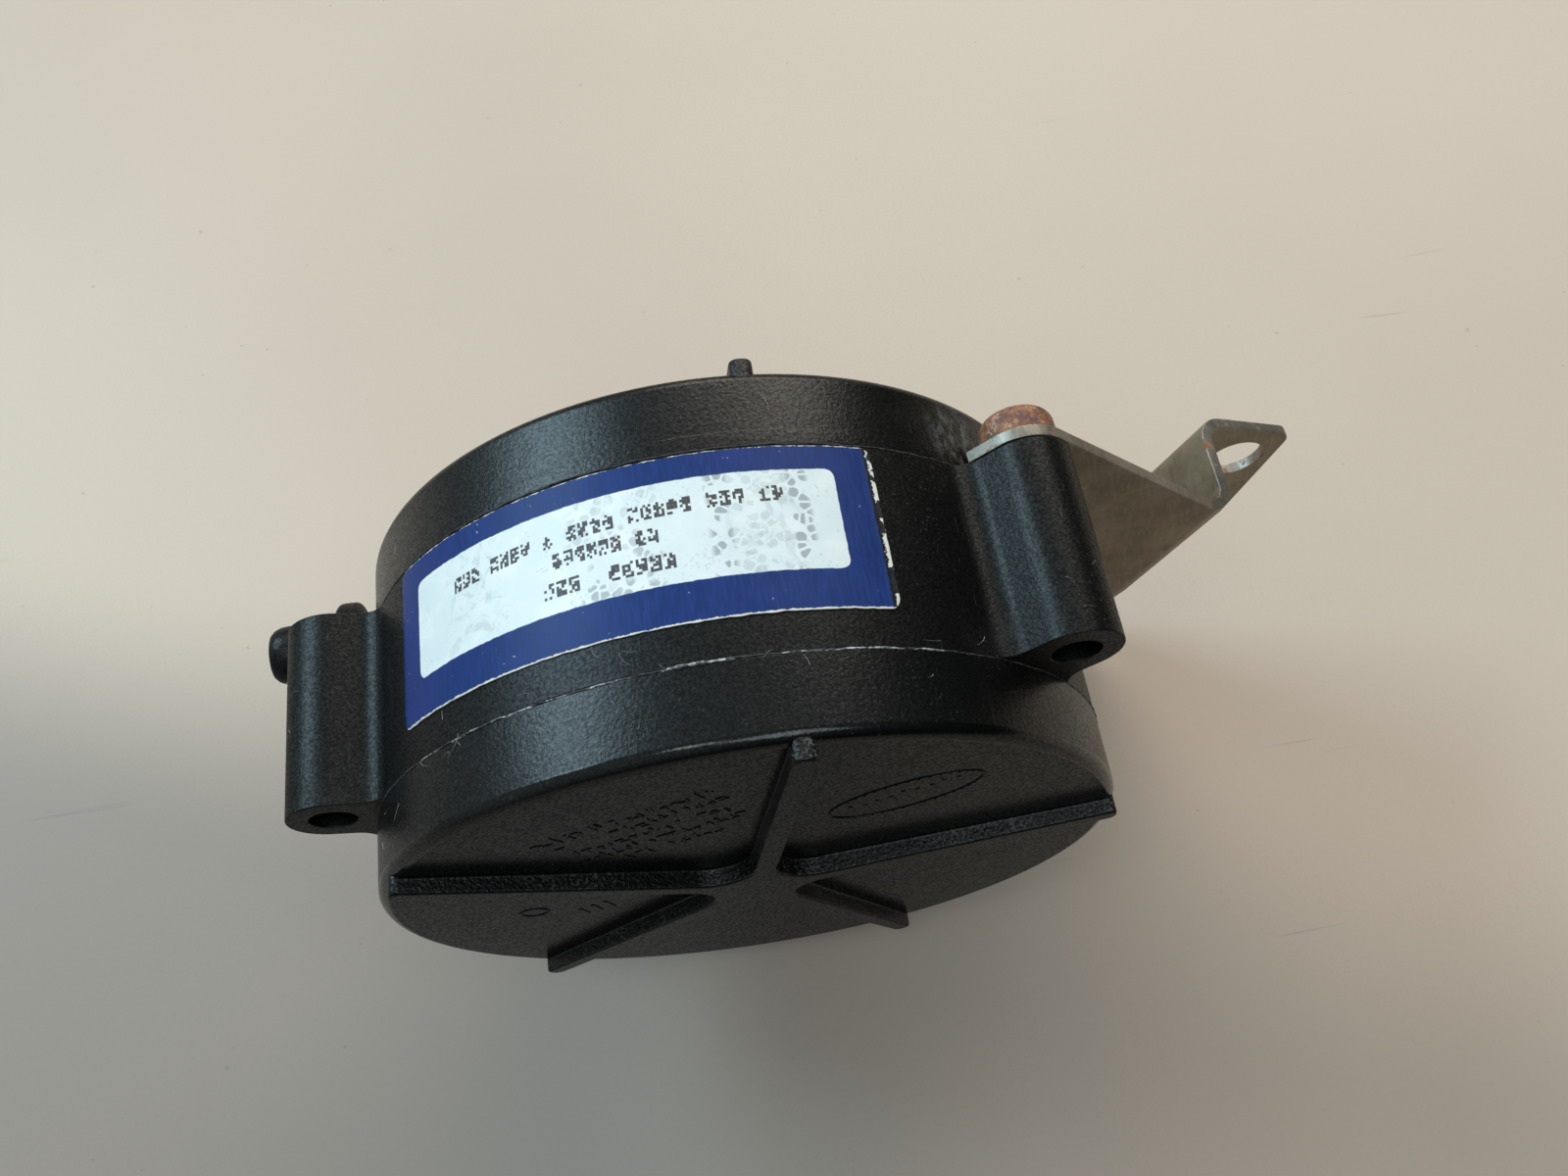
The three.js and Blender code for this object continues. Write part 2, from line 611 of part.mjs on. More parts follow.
// A quick-connect tab that passes through the housing's wall; its tip is narrowed.
function terminal(y, topZ, inner, outer) {
  const half = TERMINAL_WIDTH / 2;
  const outline = new THREE.Shape();
  outline.moveTo(inner, y - half);
  outline.lineTo(outer - 1.2, y - half);
  outline.lineTo(outer, y - half + 1.2);
  outline.lineTo(outer, y + half - 1.2);
  outline.lineTo(outer - 1.2, y + half);
  outline.lineTo(inner, y + half);
  outline.closePath();
  const tab = prism(outline, topZ - TERMINAL_THICKNESS, topZ)
    .subtract(rod(0.9, -30, 0, outer - 3.4, y, 12))
    .subtract(rod(RIVET_RADIUS + GAP, -30, 0, BLADE_RIVET_REACH, y, 16));
  return turnedTo(tab, MECHANISM_ANGLE);
}

function rivet(y, topZ, bottomZ) {
  const body = turned([
    [0, bottomZ - RIVET_HEAD_HEIGHT],
    [RIVET_HEAD_RADIUS * 0.7, bottomZ - RIVET_HEAD_HEIGHT],
    [RIVET_HEAD_RADIUS, bottomZ - GAP],
    [RIVET_RADIUS, bottomZ - GAP],
    [RIVET_RADIUS, topZ + GAP],
    [RIVET_HEAD_RADIUS, topZ + GAP],
    [RIVET_HEAD_RADIUS * 0.7, topZ + RIVET_HEAD_HEIGHT],
    [0, topZ + RIVET_HEAD_HEIGHT],
  ], 16);
  return turnedTo(body.translate([BLADE_RIVET_REACH, y, 0]), MECHANISM_ANGLE);
}

// ---------------------------------------------------------------- bias spring and calibration

class Helix extends THREE.Curve {
  constructor(radius, height, turns) {
    super();
    Object.assign(this, { radius, height, turns });
  }

  getPoint(t, target = new THREE.Vector3()) {
    const angle = 2 * Math.PI * this.turns * t;
    return target.set(this.radius * Math.cos(angle), this.radius * Math.sin(angle), this.height * t);
  }
}

function biasSpring() {
  const bottom = SEAT_FRONT_Z + GAP + SPRING_WIRE;
  const top = BLADE_REAR_Z - GAP - SPRING_WIRE;
  const wire = new THREE.Shape();
  wire.absarc(0, 0, SPRING_WIRE, 0, 2 * Math.PI, false);
  const extrudePath = new Helix(SPRING_RADIUS, top - bottom, SPRING_TURNS);
  const options = { steps: SPRING_TURNS * 12, curveSegments: 3, extrudePath, bevelEnabled: false };
  return solid(new THREE.ExtrudeGeometry(wire, options).translate(0, 0, bottom));
}

function springSeat() {
  return turned([
    [0, SEAT_FRONT_Z - 1.6],
    [SEAT_RADIUS, SEAT_FRONT_Z - 1.6],
    [SEAT_RADIUS, SEAT_FRONT_Z],
    [2.3, SEAT_FRONT_Z],
    [1.9, SEAT_FRONT_Z + 2],
    [0, SEAT_FRONT_Z + 2],
  ], SMALL_SEGMENTS);
}

function calibrationScrew() {
  const frontZ = SEAT_FRONT_Z - 1.6 - GAP;
  const slot = box(-3, 3, -0.4, 0.4, CALIBRATION_HEAD_Z - 1, CALIBRATION_HEAD_Z + 1.2);
  return rod(CALIBRATION_RADIUS, CALIBRATION_HEAD_Z, frontZ).subtract(slot);
}

// ---------------------------------------------------------------- assembly

const switchAssembly = new THREE.Group();
switchAssembly.add(
  named('front_cover', frontCover(), blackPlastic),
  named('middle_housing', middleHousing(), blackPlastic),
  named('rear_cover', rearCover(), blackPlastic),
  named('label', label(), labelPaper),
  named('bracket', bracket(), zincSteel),
  named('bracket_screw_upper', bracketScrew(BOSS_ANGLES[0]), rustySteel),
  named('bracket_screw_lower', bracketScrew(BOSS_ANGLES[2]), rustySteel),
  named('diaphragm', diaphragm(), siliconeRubber),
  named('diaphragm_plate', diaphragmPlate(), aluminium),
  named('diaphragm_retainer', diaphragmRetainer(), aluminium),
  named('actuator_pin', actuatorPin(), naturalPlastic),
  named('moving_blade', movingBlade(), bronze),
  named('moving_contact', contactButton(MOVING_CONTACT_TOP_Z), silver),
  named('fixed_blade', fixedBlade(), bronze),
  named('fixed_contact', contactButton(FIXED_CONTACT_TOP_Z), silver),
  named('common_terminal', terminal(0, COMMON_TOP_Z, 20, 56), brass),
  named('normally_open_terminal', terminal(TERMINAL_PITCH, OPEN_TOP_Z, 18, 53), brass),
  named('blade_rivet', rivet(0, BLADE_FRONT_Z, COMMON_TOP_Z - TERMINAL_THICKNESS), brass),
  named(
    'fixed_blade_rivet',
    rivet(TERMINAL_PITCH, FIXED_BLADE_TOP_Z, OPEN_TOP_Z - TERMINAL_THICKNESS),
    brass,
  ),
  named('bias_spring', biasSpring(), springSteel),
  named('spring_seat', springSeat(), brass),
  named('calibration_screw', calibrationScrew(), brass),
  named('port_restrictor', portRestrictor(), brass),
  named('vent_filter', ventFilter(), sinteredFilter),
);

// Stand the switch up, then put the origin under the middle of the assembly.
switchAssembly.rotation.set(Math.PI / 2, 0, radians(STANDING_TILT), 'XYZ');
const stand = new THREE.Group();
stand.add(switchAssembly);
stand.updateMatrixWorld(true);
const extent = new THREE.Box3().setFromObject(stand, true);
const middle = extent.getCenter(new THREE.Vector3());
switchAssembly.position.set(-middle.x, -middle.y, -extent.min.z);
stand.updateMatrixWorld(true);

export default stand;
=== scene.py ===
"""Looks of the diaphragm vacuum switch: finer outer pieces, finishes, floor, light and camera.

Pieces are built in the switch's own frame in millimetres, as the CAD is. z runs along the
housing's axis and out of the ribbed front cover, with z = 0 at the front joint. Angles are in
degrees about that axis.
"""

import math
import random

import bmesh
import bpy
from mathutils import Matrix, Vector, noise
from mathutils.geometry import tessellate_polygon


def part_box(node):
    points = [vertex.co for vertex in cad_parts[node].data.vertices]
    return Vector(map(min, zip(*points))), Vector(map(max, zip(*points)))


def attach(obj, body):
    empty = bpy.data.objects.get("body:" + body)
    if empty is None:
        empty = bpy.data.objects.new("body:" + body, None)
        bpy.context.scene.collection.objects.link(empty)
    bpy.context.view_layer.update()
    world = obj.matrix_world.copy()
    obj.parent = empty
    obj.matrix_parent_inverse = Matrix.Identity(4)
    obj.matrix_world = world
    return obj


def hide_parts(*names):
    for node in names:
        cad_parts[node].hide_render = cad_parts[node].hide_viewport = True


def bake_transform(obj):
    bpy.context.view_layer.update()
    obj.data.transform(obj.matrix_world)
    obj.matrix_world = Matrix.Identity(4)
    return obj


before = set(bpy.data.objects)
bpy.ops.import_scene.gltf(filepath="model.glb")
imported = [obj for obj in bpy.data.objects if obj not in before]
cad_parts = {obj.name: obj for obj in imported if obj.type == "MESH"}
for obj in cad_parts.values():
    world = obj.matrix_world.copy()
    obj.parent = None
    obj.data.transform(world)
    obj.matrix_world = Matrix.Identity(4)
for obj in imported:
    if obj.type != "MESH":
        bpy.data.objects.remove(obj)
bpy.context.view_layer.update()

MM = 0.001
STANDING_TILT = 7.5
FRONT_RIB_TOP = 11.6

# ---- the switch's frame


def rotation(degrees, axis="Z"):
    return Matrix.Rotation(math.radians(degrees), 4, axis)


axis_low, axis_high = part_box("diaphragm")
front_low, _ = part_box("front_cover")
SWITCH_PLACE = Vector((
    (axis_low.x + axis_high.x) / 2,
    front_low.y + FRONT_RIB_TOP * MM,
    (axis_low.z + axis_high.z) / 2,
))
SWITCH = (
    Matrix.Translation(SWITCH_PLACE)
    @ rotation(90, "X")
    @ rotation(STANDING_TILT)
)

# ---- dimensions, as in the CAD

RADIUS = 44.5
CHAMBER = 41.5
BEAD_GROOVE = 42.8
FRONT_INSIDE, FRONT_FLOOR = 6.8, 9.3
REAR_JOINT = -24.0
REAR_INSIDE, REAR_FLOOR = -31.4, -33.9
REAR_RIB_TOP = -36.0
EDGE = 1.5
FRONT_RIBS, REAR_RIBS, RIB_FIRST, RIB_WIDTH, RIB_END, RIB_FILLET = 5, 3, 70, 2.6, 44.2, 5.0
RIB_ROOT = 1.3
BOSSES = (30, 150, 270)
BOSS_REACH, BOSS_HALF, BOSS_HOLE, BOSS_FILLET = 49.3, 5.25, 2.7, 3.0
NIPPLE_ANGLE, NIPPLE_Z, NIPPLE_TIP = 164, -27.3, 58.4
LABEL_START, LABEL_END, LABEL_FRONT, LABEL_REAR = 54.0, 130.0, -4.3, -23.6
LABEL_THICKNESS = 0.16
BRACKET_ANGLE = -34
SHEET = 1.5
FOLD, BEND = 54.0, 2.5
TAB_FRONT, FLANGE_FRONT = -24.15, -37.4
BRACKET_TOP, BRACKET_FOOT = 37.3, -24.304
FLANGE_END, FLANGE_HOLE, FLANGE_REACH, FLANGE_INSET = 74.0, 3.9, 67.9, 6.6
HEAD_RADIUS, HEAD_HEIGHT, SHANK, SCREW_LENGTH = 4.4, 3.8, 2.35, 14.0
MECHANISM = 210
PARTITION_REAR, PARTITION_FRONT, PIN_BORE = -9, -7, 2.3
CALIBRATION_BORE, ADJUSTER_BORE_DEPTH = 2.7, -27.8
NIPPLE_BORE = 1.6
WELD_GAP = 0.06

SHARP_ANGLE = 32
FACE_AREA_WEIGHT = 60


def polar(radius, degrees):
    return Vector((math.cos(math.radians(degrees)), math.sin(math.radians(degrees)))) * radius


def arc(centre, radius, start, end, steps):
    return [
        Vector(centre) + polar(radius, start + (end - start) * i / steps)
        for i in range(steps + 1)
    ]


# ---- mesh building


def add_object(name, data):
    made = bpy.data.objects.new(name, data)
    bpy.context.scene.collection.objects.link(made)
    return made


def mesh_from(bm, name):
    data = bpy.data.meshes.new(name)
    bm.to_mesh(data)
    bm.free()
    return data


def shade_smooth(bm, sharp):
    """Smooth faces with sharp edges where two faces meet at more than an angle."""
    for face in bm.faces:
        face.smooth = True
    for edge in bm.edges:
        if len(edge.link_faces) == 2:
            edge.smooth = edge.calc_face_angle(0) <= math.radians(sharp)


def even_normals(piece):
    normals = piece.modifiers.new("even_normals", "WEIGHTED_NORMAL")
    normals.keep_sharp = True
    normals.weight = FACE_AREA_WEIGHT


def finish_piece(name, bm, materials, body="housing", sharp=SHARP_ANGLE,
                 weighted=True):
    """Turns a bmesh in millimetres into a smooth-shaded piece that rides on a body."""
    bmesh.ops.remove_doubles(bm, verts=bm.verts, dist=0.0008)
    bmesh.ops.recalc_face_normals(bm, faces=bm.faces)
    for vertex in bm.verts:
        vertex.co *= MM
    shade_smooth(bm, sharp)
    data = mesh_from(bm, name)
    for material in materials:
        data.materials.append(material)
    piece = add_object(name, data)
    piece.matrix_world = SWITCH
    if weighted:
        even_normals(piece)
    if body:
        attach(piece, body)
    return piece


def join_rings(bm, rings):
    """Joins neighbouring rings of the same number of vertices, and returns the faces."""
    return [
        bm.faces.new((a[i], a[(i + 1) % len(a)], b[(i + 1) % len(a)], b[i]))
        for a, b in zip(rings, rings[1:])
        for i in range(len(a))
    ]


def ring_at(bm, z, points):
    return [bm.verts.new((p.x, p.y, z)) for p in points]


def turned(profile, segments, closed=True, place=None):
    """Turns [radius, z] points about z. Points on the axis close the surface there."""
    bm = bmesh.new()
    rings = []
    for radius, z in profile:
        if radius < 1e-6:
            rings.append([bm.verts.new((0, 0, z))])
        else:
            rings.append(ring_at(bm, z, circle((0, 0), radius, segments, clockwise=False)))
    pairs = list(zip(rings, rings[1:]))
    if closed:
        pairs.append((rings[-1], rings[0]))
    for a, b in pairs:
        if len(a) == 1 and len(b) == 1:
            continue
        for i in range(segments):
            j = (i + 1) % segments
            corners = []
            for ring, k in ((a, i), (a, j), (b, j), (b, i)):
                vertex = ring[k % len(ring)]
                if vertex not in corners:
                    corners.append(vertex)
            bm.faces.new(corners)
    if place is not None:
        bm.transform(place)
    return bm


def rounded(r, z, radius, start, end, steps=7):
    return [(p.x, p.y) for p in arc((r, z), radius, start, end, steps)]


def inset(points, distance):
    """Moves a closed loop to its left by a distance, with mitred corners."""
    moved = []
    count = len(points)
    for i in range(count):
        before, here, after = points[i - 1], points[i], points[(i + 1) % count]
        first = (here - before).normalized()
        second = (after - here).normalized()
        left_a = Vector((-first.y, first.x))
        left_b = Vector((-second.y, second.x))
        moved.append(here + (left_a + left_b) * distance / max(0.4, 1 + left_a.dot(left_b)))
    return moved


def slab(loops, z0, z1, bevel=0.2, steps=3, cap_material=0, side_material=0):
    """A plate with rounded edges. The first loop runs counter-clockwise, holes run clockwise."""
    bm = bmesh.new()
    levels = []
    for i in range(steps + 1):
        turn = math.pi / 2 * i / steps
        levels.append((bevel * (1 - math.sin(turn)), z0 + bevel * (1 - math.cos(turn))))
    levels += [(offset, z0 + z1 - z) for offset, z in reversed(levels)]
    rings = [
        [ring_at(bm, z, inset(loop, offset)) for loop in loops] for offset, z in levels
    ]
    for lower, upper in zip(rings, rings[1:]):
        for pair in zip(lower, upper):
            for face in join_rings(bm, pair):
                face.material_index = side_material
    for ring in (rings[0], rings[-1]):
        flat = [v for loop in ring for v in loop]
        lines = [[Vector((v.co.x, v.co.y, 0)) for v in loop] for loop in ring]
        for triangle in tessellate_polygon(lines):
            if len(set(triangle)) == 3:
                bm.faces.new([flat[i] for i in triangle]).material_index = cap_material
    return bm


def circle(centre, radius, segments=48, clockwise=True):
    points = [Vector(centre) + polar(radius, 360 * i / segments) for i in range(segments)]
    return points[::-1] if clockwise else points


def cut(piece, cutter_bm):
    """Cuts a closed bmesh, in millimetres in the switch's frame, out of a piece."""
    for vertex in cutter_bm.verts:
        vertex.co *= MM
    bmesh.ops.recalc_face_normals(cutter_bm, faces=cutter_bm.faces)
    cutter = add_object("cutter", mesh_from(cutter_bm, "cutter"))
    cutter.matrix_world = piece.matrix_world
    piece.modifiers.clear()
    tool = piece.modifiers.new("cut", "BOOLEAN")
    tool.operation = "DIFFERENCE"
    tool.solver = "EXACT"
    tool.object = cutter
    bpy.context.view_layer.update()
    graph = bpy.context.evaluated_depsgraph_get()
    result = bpy.data.meshes.new_from_object(piece.evaluated_get(graph))
    piece.modifiers.clear()
    piece.data = result
    bpy.data.objects.remove(cutter)
    bm = bmesh.new()
    bm.from_mesh(result)
    shade_smooth(bm, SHARP_ANGLE)
    bm.to_mesh(result)
    bm.free()
    even_normals(piece)


def block(bm, x0, x1, y0, y1, z0, z1, place=Matrix.Identity(4)):
    corners = [
        bm.verts.new(place @ Vector((x, y, z)))
        for z in (z0, z1) for y in (y0, y1) for x in (x0, x1)
    ]
    sides = (0, 2, 3, 1), (4, 5, 7, 6), (0, 1, 5, 4), (2, 6, 7, 3), (0, 4, 6, 2), (1, 3, 7, 5)
    for face in sides:
        bm.faces.new([corners[i] for i in face])


def slice_at(bm, stations):
    """Cuts a flat plate's faces at some places along x, so that it can bend there."""
    for x in stations:
        everything = list(bm.verts) + list(bm.edges) + list(bm.faces)
        bmesh.ops.bisect_plane(bm, geom=everything, plane_co=(x, 0, 0), plane_no=(1, 0, 0))


# ---- materials


class Finish:
    """A node material built from small steps."""

    def __init__(self, name):
        self.material = bpy.data.materials.new(name)
        self.material.use_nodes = True
        self.tree = self.material.node_tree
        self.tree.nodes.clear()
        self.out = self.tree.nodes.new("ShaderNodeOutputMaterial")
        self.shader = self.tree.nodes.new("ShaderNodeBsdfPrincipled")
        self.tree.links.new(self.shader.outputs["BSDF"], self.out.inputs["Surface"])
        self.place = self.tree.nodes.new("ShaderNodeTexCoord").outputs["Object"]

    def node(self, kind, inputs=None, **settings):
        made = self.tree.nodes.new(kind)
        for key, value in settings.items():
            setattr(made, key, value)
        for key, value in (inputs or {}).items():
            self.set(made.inputs[key], value)
        return made

    def set(self, socket, value):
        if isinstance(value, bpy.types.NodeSocket):
            self.tree.links.new(value, socket)
        else:
            socket.default_value = value

    def math(self, operation, a, b=0.0, clamp=False):
        made = self.node("ShaderNodeMath", {0: a, 1: b}, operation=operation, use_clamp=clamp)
        return made.outputs[0]

    def times(self, a, b):
        return self.math("MULTIPLY", a, b)

    def plus(self, a, b):
        return self.math("ADD", a, b)

    def less(self, a, b):
        return self.math("SUBTRACT", a, b)

    def most(self, a, b):
        return self.math("MAXIMUM", a, b)

    def away(self, value, centre):
        """The distance of a value from a centre."""
        return self.math("ABSOLUTE", self.less(value, centre))

    def noise(self, scale, detail=4.0, roughness=0.55, vector=None, distortion=0.0):
        made = self.node("ShaderNodeTexNoise", {
            "Vector": vector or self.place, "Scale": scale, "Detail": detail,
            "Roughness": roughness, "Distortion": distortion,
        })
        return made.outputs["Fac"]

    def streaks(self, scale, detail, roughness, turn=(0, 0, 0), distortion=0.0):
        """Noise with a scale for each axis, after a turn in radians."""
        stretched = self.node("ShaderNodeMapping", {
            "Vector": self.place, "Scale": scale, "Rotation": turn,
        }).outputs[0]
        return self.noise(1.0, detail, roughness, stretched, distortion)

    def cells(self, scale, feature="F1", output="Distance"):
        inputs = {"Vector": self.place, "Scale": scale}
        return self.node("ShaderNodeTexVoronoi", inputs, feature=feature).outputs[output]

    def between(self, value, low, high, to_low=0.0, to_high=1.0):
        made = self.node("ShaderNodeMapRange", {
            0: value, 1: low, 2: high, 3: to_low, 4: to_high,
        }, clamp=True, interpolation_type="SMOOTHSTEP")
        return made.outputs[0]

    def spots(self, low, high, *settings):
        """Noise as a mask that rises from 0 to 1 between two of its levels."""
        return self.between(self.noise(*settings), low, high)

    def mix(self, amount, a, b):
        """Mixes two colours, each a socket or a tuple of red, green and blue."""
        made = self.node("ShaderNodeMix", data_type="RGBA", blend_type="MIX")
        self.set(made.inputs[0], amount)
        for socket, value in ((6, a), (7, b)):
            self.set(made.inputs[socket], (*value, 1) if isinstance(value, tuple) else value)
        return made.outputs[2]

    def tint(self, colour, mask, amount, added):
        """Mixes a colour in, by an amount, where the mask is."""
        return self.mix(self.times(mask, amount), colour, added)

    def blend(self, amount, a, b):
        made = self.node("ShaderNodeMix", data_type="FLOAT")
        self.set(made.inputs[0], amount)
        self.set(made.inputs[2], a)
        self.set(made.inputs[3], b)
        return made.outputs[0]

    def bump(self, height, strength, distance, normal=None):
        inputs = {"Height": height, "Strength": strength, "Distance": distance}
        if normal is not None:
            inputs["Normal"] = normal
        return self.node("ShaderNodeBump", inputs).outputs[0]

    def axes(self):
        made = self.node("ShaderNodeSeparateXYZ", {0: self.place})
        return made.outputs[0], made.outputs[1], made.outputs[2]

    def use(self, **inputs):
        for key, value in inputs.items():
            self.set(self.shader.inputs[key.replace("_", " ")], value)
        return self.material


def black_plastic(
        name, dust_and_glints=1.0, gloss=0.34, scuff=1.0, grain=1.0, matting=0.36, worn=False, clean=0.62):
    """Moulded black plastic, with scratches along the axis, hairlines, dust and a worn haze; its
    light specks are dust and, where raised as on the ribs' sides, also painted glints.
    """
    f = Finish(name)
    base = f.mix(f.noise(90, 5), (0.0012, 0.0014, 0.0013), (0.0030, 0.0034, 0.0032))
    streaks = f.streaks((2600, 2600, 45), 3, 0.6)
    scratch = f.between(streaks, 0.66, 0.74)
    fine = f.streaks((700, 5200, 300), 2, 0.5, (0.3, 0.9, 0.5))
    hair = f.between(fine, 0.735, 0.78)
    haze = f.spots(0.52, 0.74, 55, 6, 0.65)
    specks = f.spots(clean, clean + 0.06, 2600, 3, 0.6)
    patches = f.spots(0.38, 0.66, 70, 3)
    dust_and_glint_specks = f.times(specks, patches)
    colour = f.tint(base, scratch, 0.10 * scuff, (0.16, 0.165, 0.17))
    colour = f.tint(colour, hair, 0.22 * scuff, (0.25, 0.25, 0.24))
    colour = f.tint(colour, haze, 0.014 * dust_and_glints, (0.30, 0.29, 0.27))
    if worn:
        # A greyish patch rubbed beside the bracket's boss.
        rubbed = Vector((*polar(RADIUS, 36.2), -28.0)) * MM
        near = f.node("ShaderNodeVectorMath", {0: f.place, 1: rubbed},
                      operation="DISTANCE").outputs["Value"]
        smear = f.between(f.streaks((900, 900, 420), 6, 0.75), 0.44, 0.62)
        patch = f.times(f.between(near, 0.0058, 0.0024), smear)
        colour = f.tint(colour, patch, 0.5, (0.18, 0.19, 0.185))
    # Light specks: dust, and where their amount is raised and their level lowered, as on the ribs'
    # sides, also painted glints.
    colour = f.tint(colour, dust_and_glint_specks, 0.09 * dust_and_glints, (0.38, 0.37, 0.35))
    rough = f.blend(haze, gloss, gloss * 1.4)
    rough = f.blend(f.times(streaks, 0.6), rough, gloss * 1.3)
    rough = f.blend(dust_and_glint_specks, rough, 0.8)
    skin = f.bump(f.noise(2300, 3, 0.6), 0.80 * grain, 0.00006)
    skin = f.bump(f.noise(420, 3, 0.5), 0.14 * grain, 0.00010, skin)
    skin = f.bump(streaks, 0.30 * scuff, 0.00003, skin)
    f.use(Base_Color=colour, Roughness=rough, Normal=skin)
    # The moulded texture's pits trap light, so part of the surface reflects nothing.
    pits = f.between(f.noise(3400, 2, 0.6), 0.36, 0.64, matting - 0.20, matting + 0.20)
    pit = f.node("ShaderNodeBsdfDiffuse", {"Color": colour})
    both = f.node("ShaderNodeMixShader", {0: pits})
    f.tree.links.new(f.shader.outputs[0], both.inputs[1])
    f.tree.links.new(pit.outputs[0], both.inputs[2])
    f.tree.links.new(both.outputs[0], f.out.inputs["Surface"])
    return f.material


# The label's window on the ring: its middle in degrees and z, its half sizes inside the round
# corners, and the length of a degree there.
WINDOW_ANGLE, WINDOW_Z = 92.5, -14.75
WINDOW_HALF_ANGLE, WINDOW_HALF_HEIGHT = 31.2, 4.85
MM_PER_DEGREE = 0.78


def window_mask(f, angle, length):
    """The off-white window, with round corners and an edge that wavers a little."""
    wobble = f.times(f.less(f.noise(900, 2), 0.5), 0.25)
    across = f.plus(f.away(angle, WINDOW_ANGLE), wobble)
    along = f.plus(f.away(length, WINDOW_Z), wobble)
    # How far a place is outside the rectangle between the corners, in millimetres.
    outside_a = f.times(f.most(f.less(across, WINDOW_HALF_ANGLE), 0.0), MM_PER_DEGREE)
    outside_b = f.most(f.less(along, WINDOW_HALF_HEIGHT), 0.0)
    squares = f.plus(f.times(outside_a, outside_a), f.times(outside_b, outside_b))
    return f.between(f.math("SQRT", squares), 1.12, 1.0)


def water_stains(f, white, angle, length):
    """Dried droplets side by side, in a few bands across the window, and small flecks."""
    drops = f.cells(820, "DISTANCE_TO_EDGE")
    tone = f.node("ShaderNodeSeparateXYZ", {0: f.cells(820, output="Color")}).outputs[0]
    round_drops = f.between(f.cells(820), 0.60, 0.50)
    spots = f.times(f.between(drops, 0.07, 0.13), f.between(tone, 0.22, 0.34))
    spots = f.times(spots, round_drops)
    band_one = f.between(f.away(angle, 90.5), 8.0, 4.5)
    band_two = f.between(f.away(angle, 70.5), 6.2, 3.4)
    rim_two = f.between(f.away(f.away(angle, 70.8), 5.4), 2.0, 0.9)
    band_three = f.between(f.away(angle, 112.5), 7.0, 3.0)
    ragged = f.spots(0.40, 0.56, 330, 3)
    low_side = f.between(length, -17.5, -11.0)
    amount = f.times(band_one, f.times(ragged, f.blend(low_side, 0.45, 0.9)))
    amount = f.most(f.most(amount, rim_two), f.times(band_two, 0.35))
    smears = f.between(f.noise(420, 4, 0.7, distortion=1.2), 0.50, 0.62)
    faint = f.times(f.most(band_three, band_two), smears)
    flecks = f.times(f.between(f.cells(1900), 0.34, 0.24), f.spots(0.52, 0.66, 260, 3))
    white = f.tint(white, faint, 0.42, (0.50, 0.55, 0.56))
    white = f.tint(white, f.times(spots, amount), 0.85, (0.36, 0.40, 0.42))
    return f.tint(white, flecks, 0.30, (0.42, 0.45, 0.47))


def bare_edges(f, face, angle, length):
    """Bare paper along the long edges and, ragged, along the right-hand end."""
    torn = f.times(f.less(f.noise(1700, 3, 0.7), 0.5), 1.5)
    end = LABEL_START
    front_edge = f.between(
        f.plus(length, f.times(torn, 0.35)), LABEL_FRONT - 0.22, LABEL_FRONT - 0.12)
    right_edge = f.between(f.plus(angle, torn), end + 0.62, end + 0.50)
    rear_edge = f.between(f.plus(length, f.times(torn, 0.3)), LABEL_REAR + 0.08, LABEL_REAR + 0.02)
    bare = f.most(f.most(front_edge, right_edge), rear_edge)
    soil = f.mix(f.noise(800, 3), (0.70, 0.68, 0.60), (0.90, 0.88, 0.82))
    breaks = f.times(f.spots(0.53, 0.57, 620, 2), f.between(angle, end + 1.3, end + 1.1))
    soil = f.mix(breaks, soil, (0.02, 0.02, 0.022))
    gap = f.between(f.plus(angle, f.times(torn, 0.4)), end + 1.02, end + 0.94)
    return f.mix(bare, f.mix(gap, face, (0.006, 0.006, 0.007)), soil)


def label_film():
    """Blue printed border with fine brushed streaks, and an off-white window with stains."""
    f = Finish("label_film_print")
    x, y, z = f.axes()
    angle = f.math("DEGREES", f.math("ARCTAN2", y, x))
    length = f.times(z, 1000)
    window = window_mask(f, angle, length)
    streaks = f.streaks((3600, 3600, 420), 2, 0.5)
    mottling = f.noise(240, 5, 0.6)
    blue = f.mix(f.between(streaks, 0.40, 0.68), (0.007, 0.031, 0.152), (0.011, 0.041, 0.200))
    blue = f.mix(f.between(mottling, 0.45, 0.75), blue, (0.012, 0.036, 0.190))
    blue = f.tint(blue, f.spots(0.735, 0.76, 1500, 2), 0.5, (0.55, 0.58, 0.66))
    white = f.mix(f.between(mottling, 0.40, 0.70), (0.79, 0.87, 0.88), (0.90, 0.94, 0.94))
    face = f.mix(window, blue, water_stains(f, white, angle, length))
    rough = f.blend(window, f.blend(streaks, 0.34, 0.52), 0.42)
    skin = f.bump(streaks, 0.18, 0.00003)
    skin = f.bump(f.noise(650, 3), 0.10, 0.00012, skin)
    face = bare_edges(f, face, angle, length)
    return f.use(Base_Color=face, Roughness=rough, Normal=skin, Specular_IOR_Level=0.2)


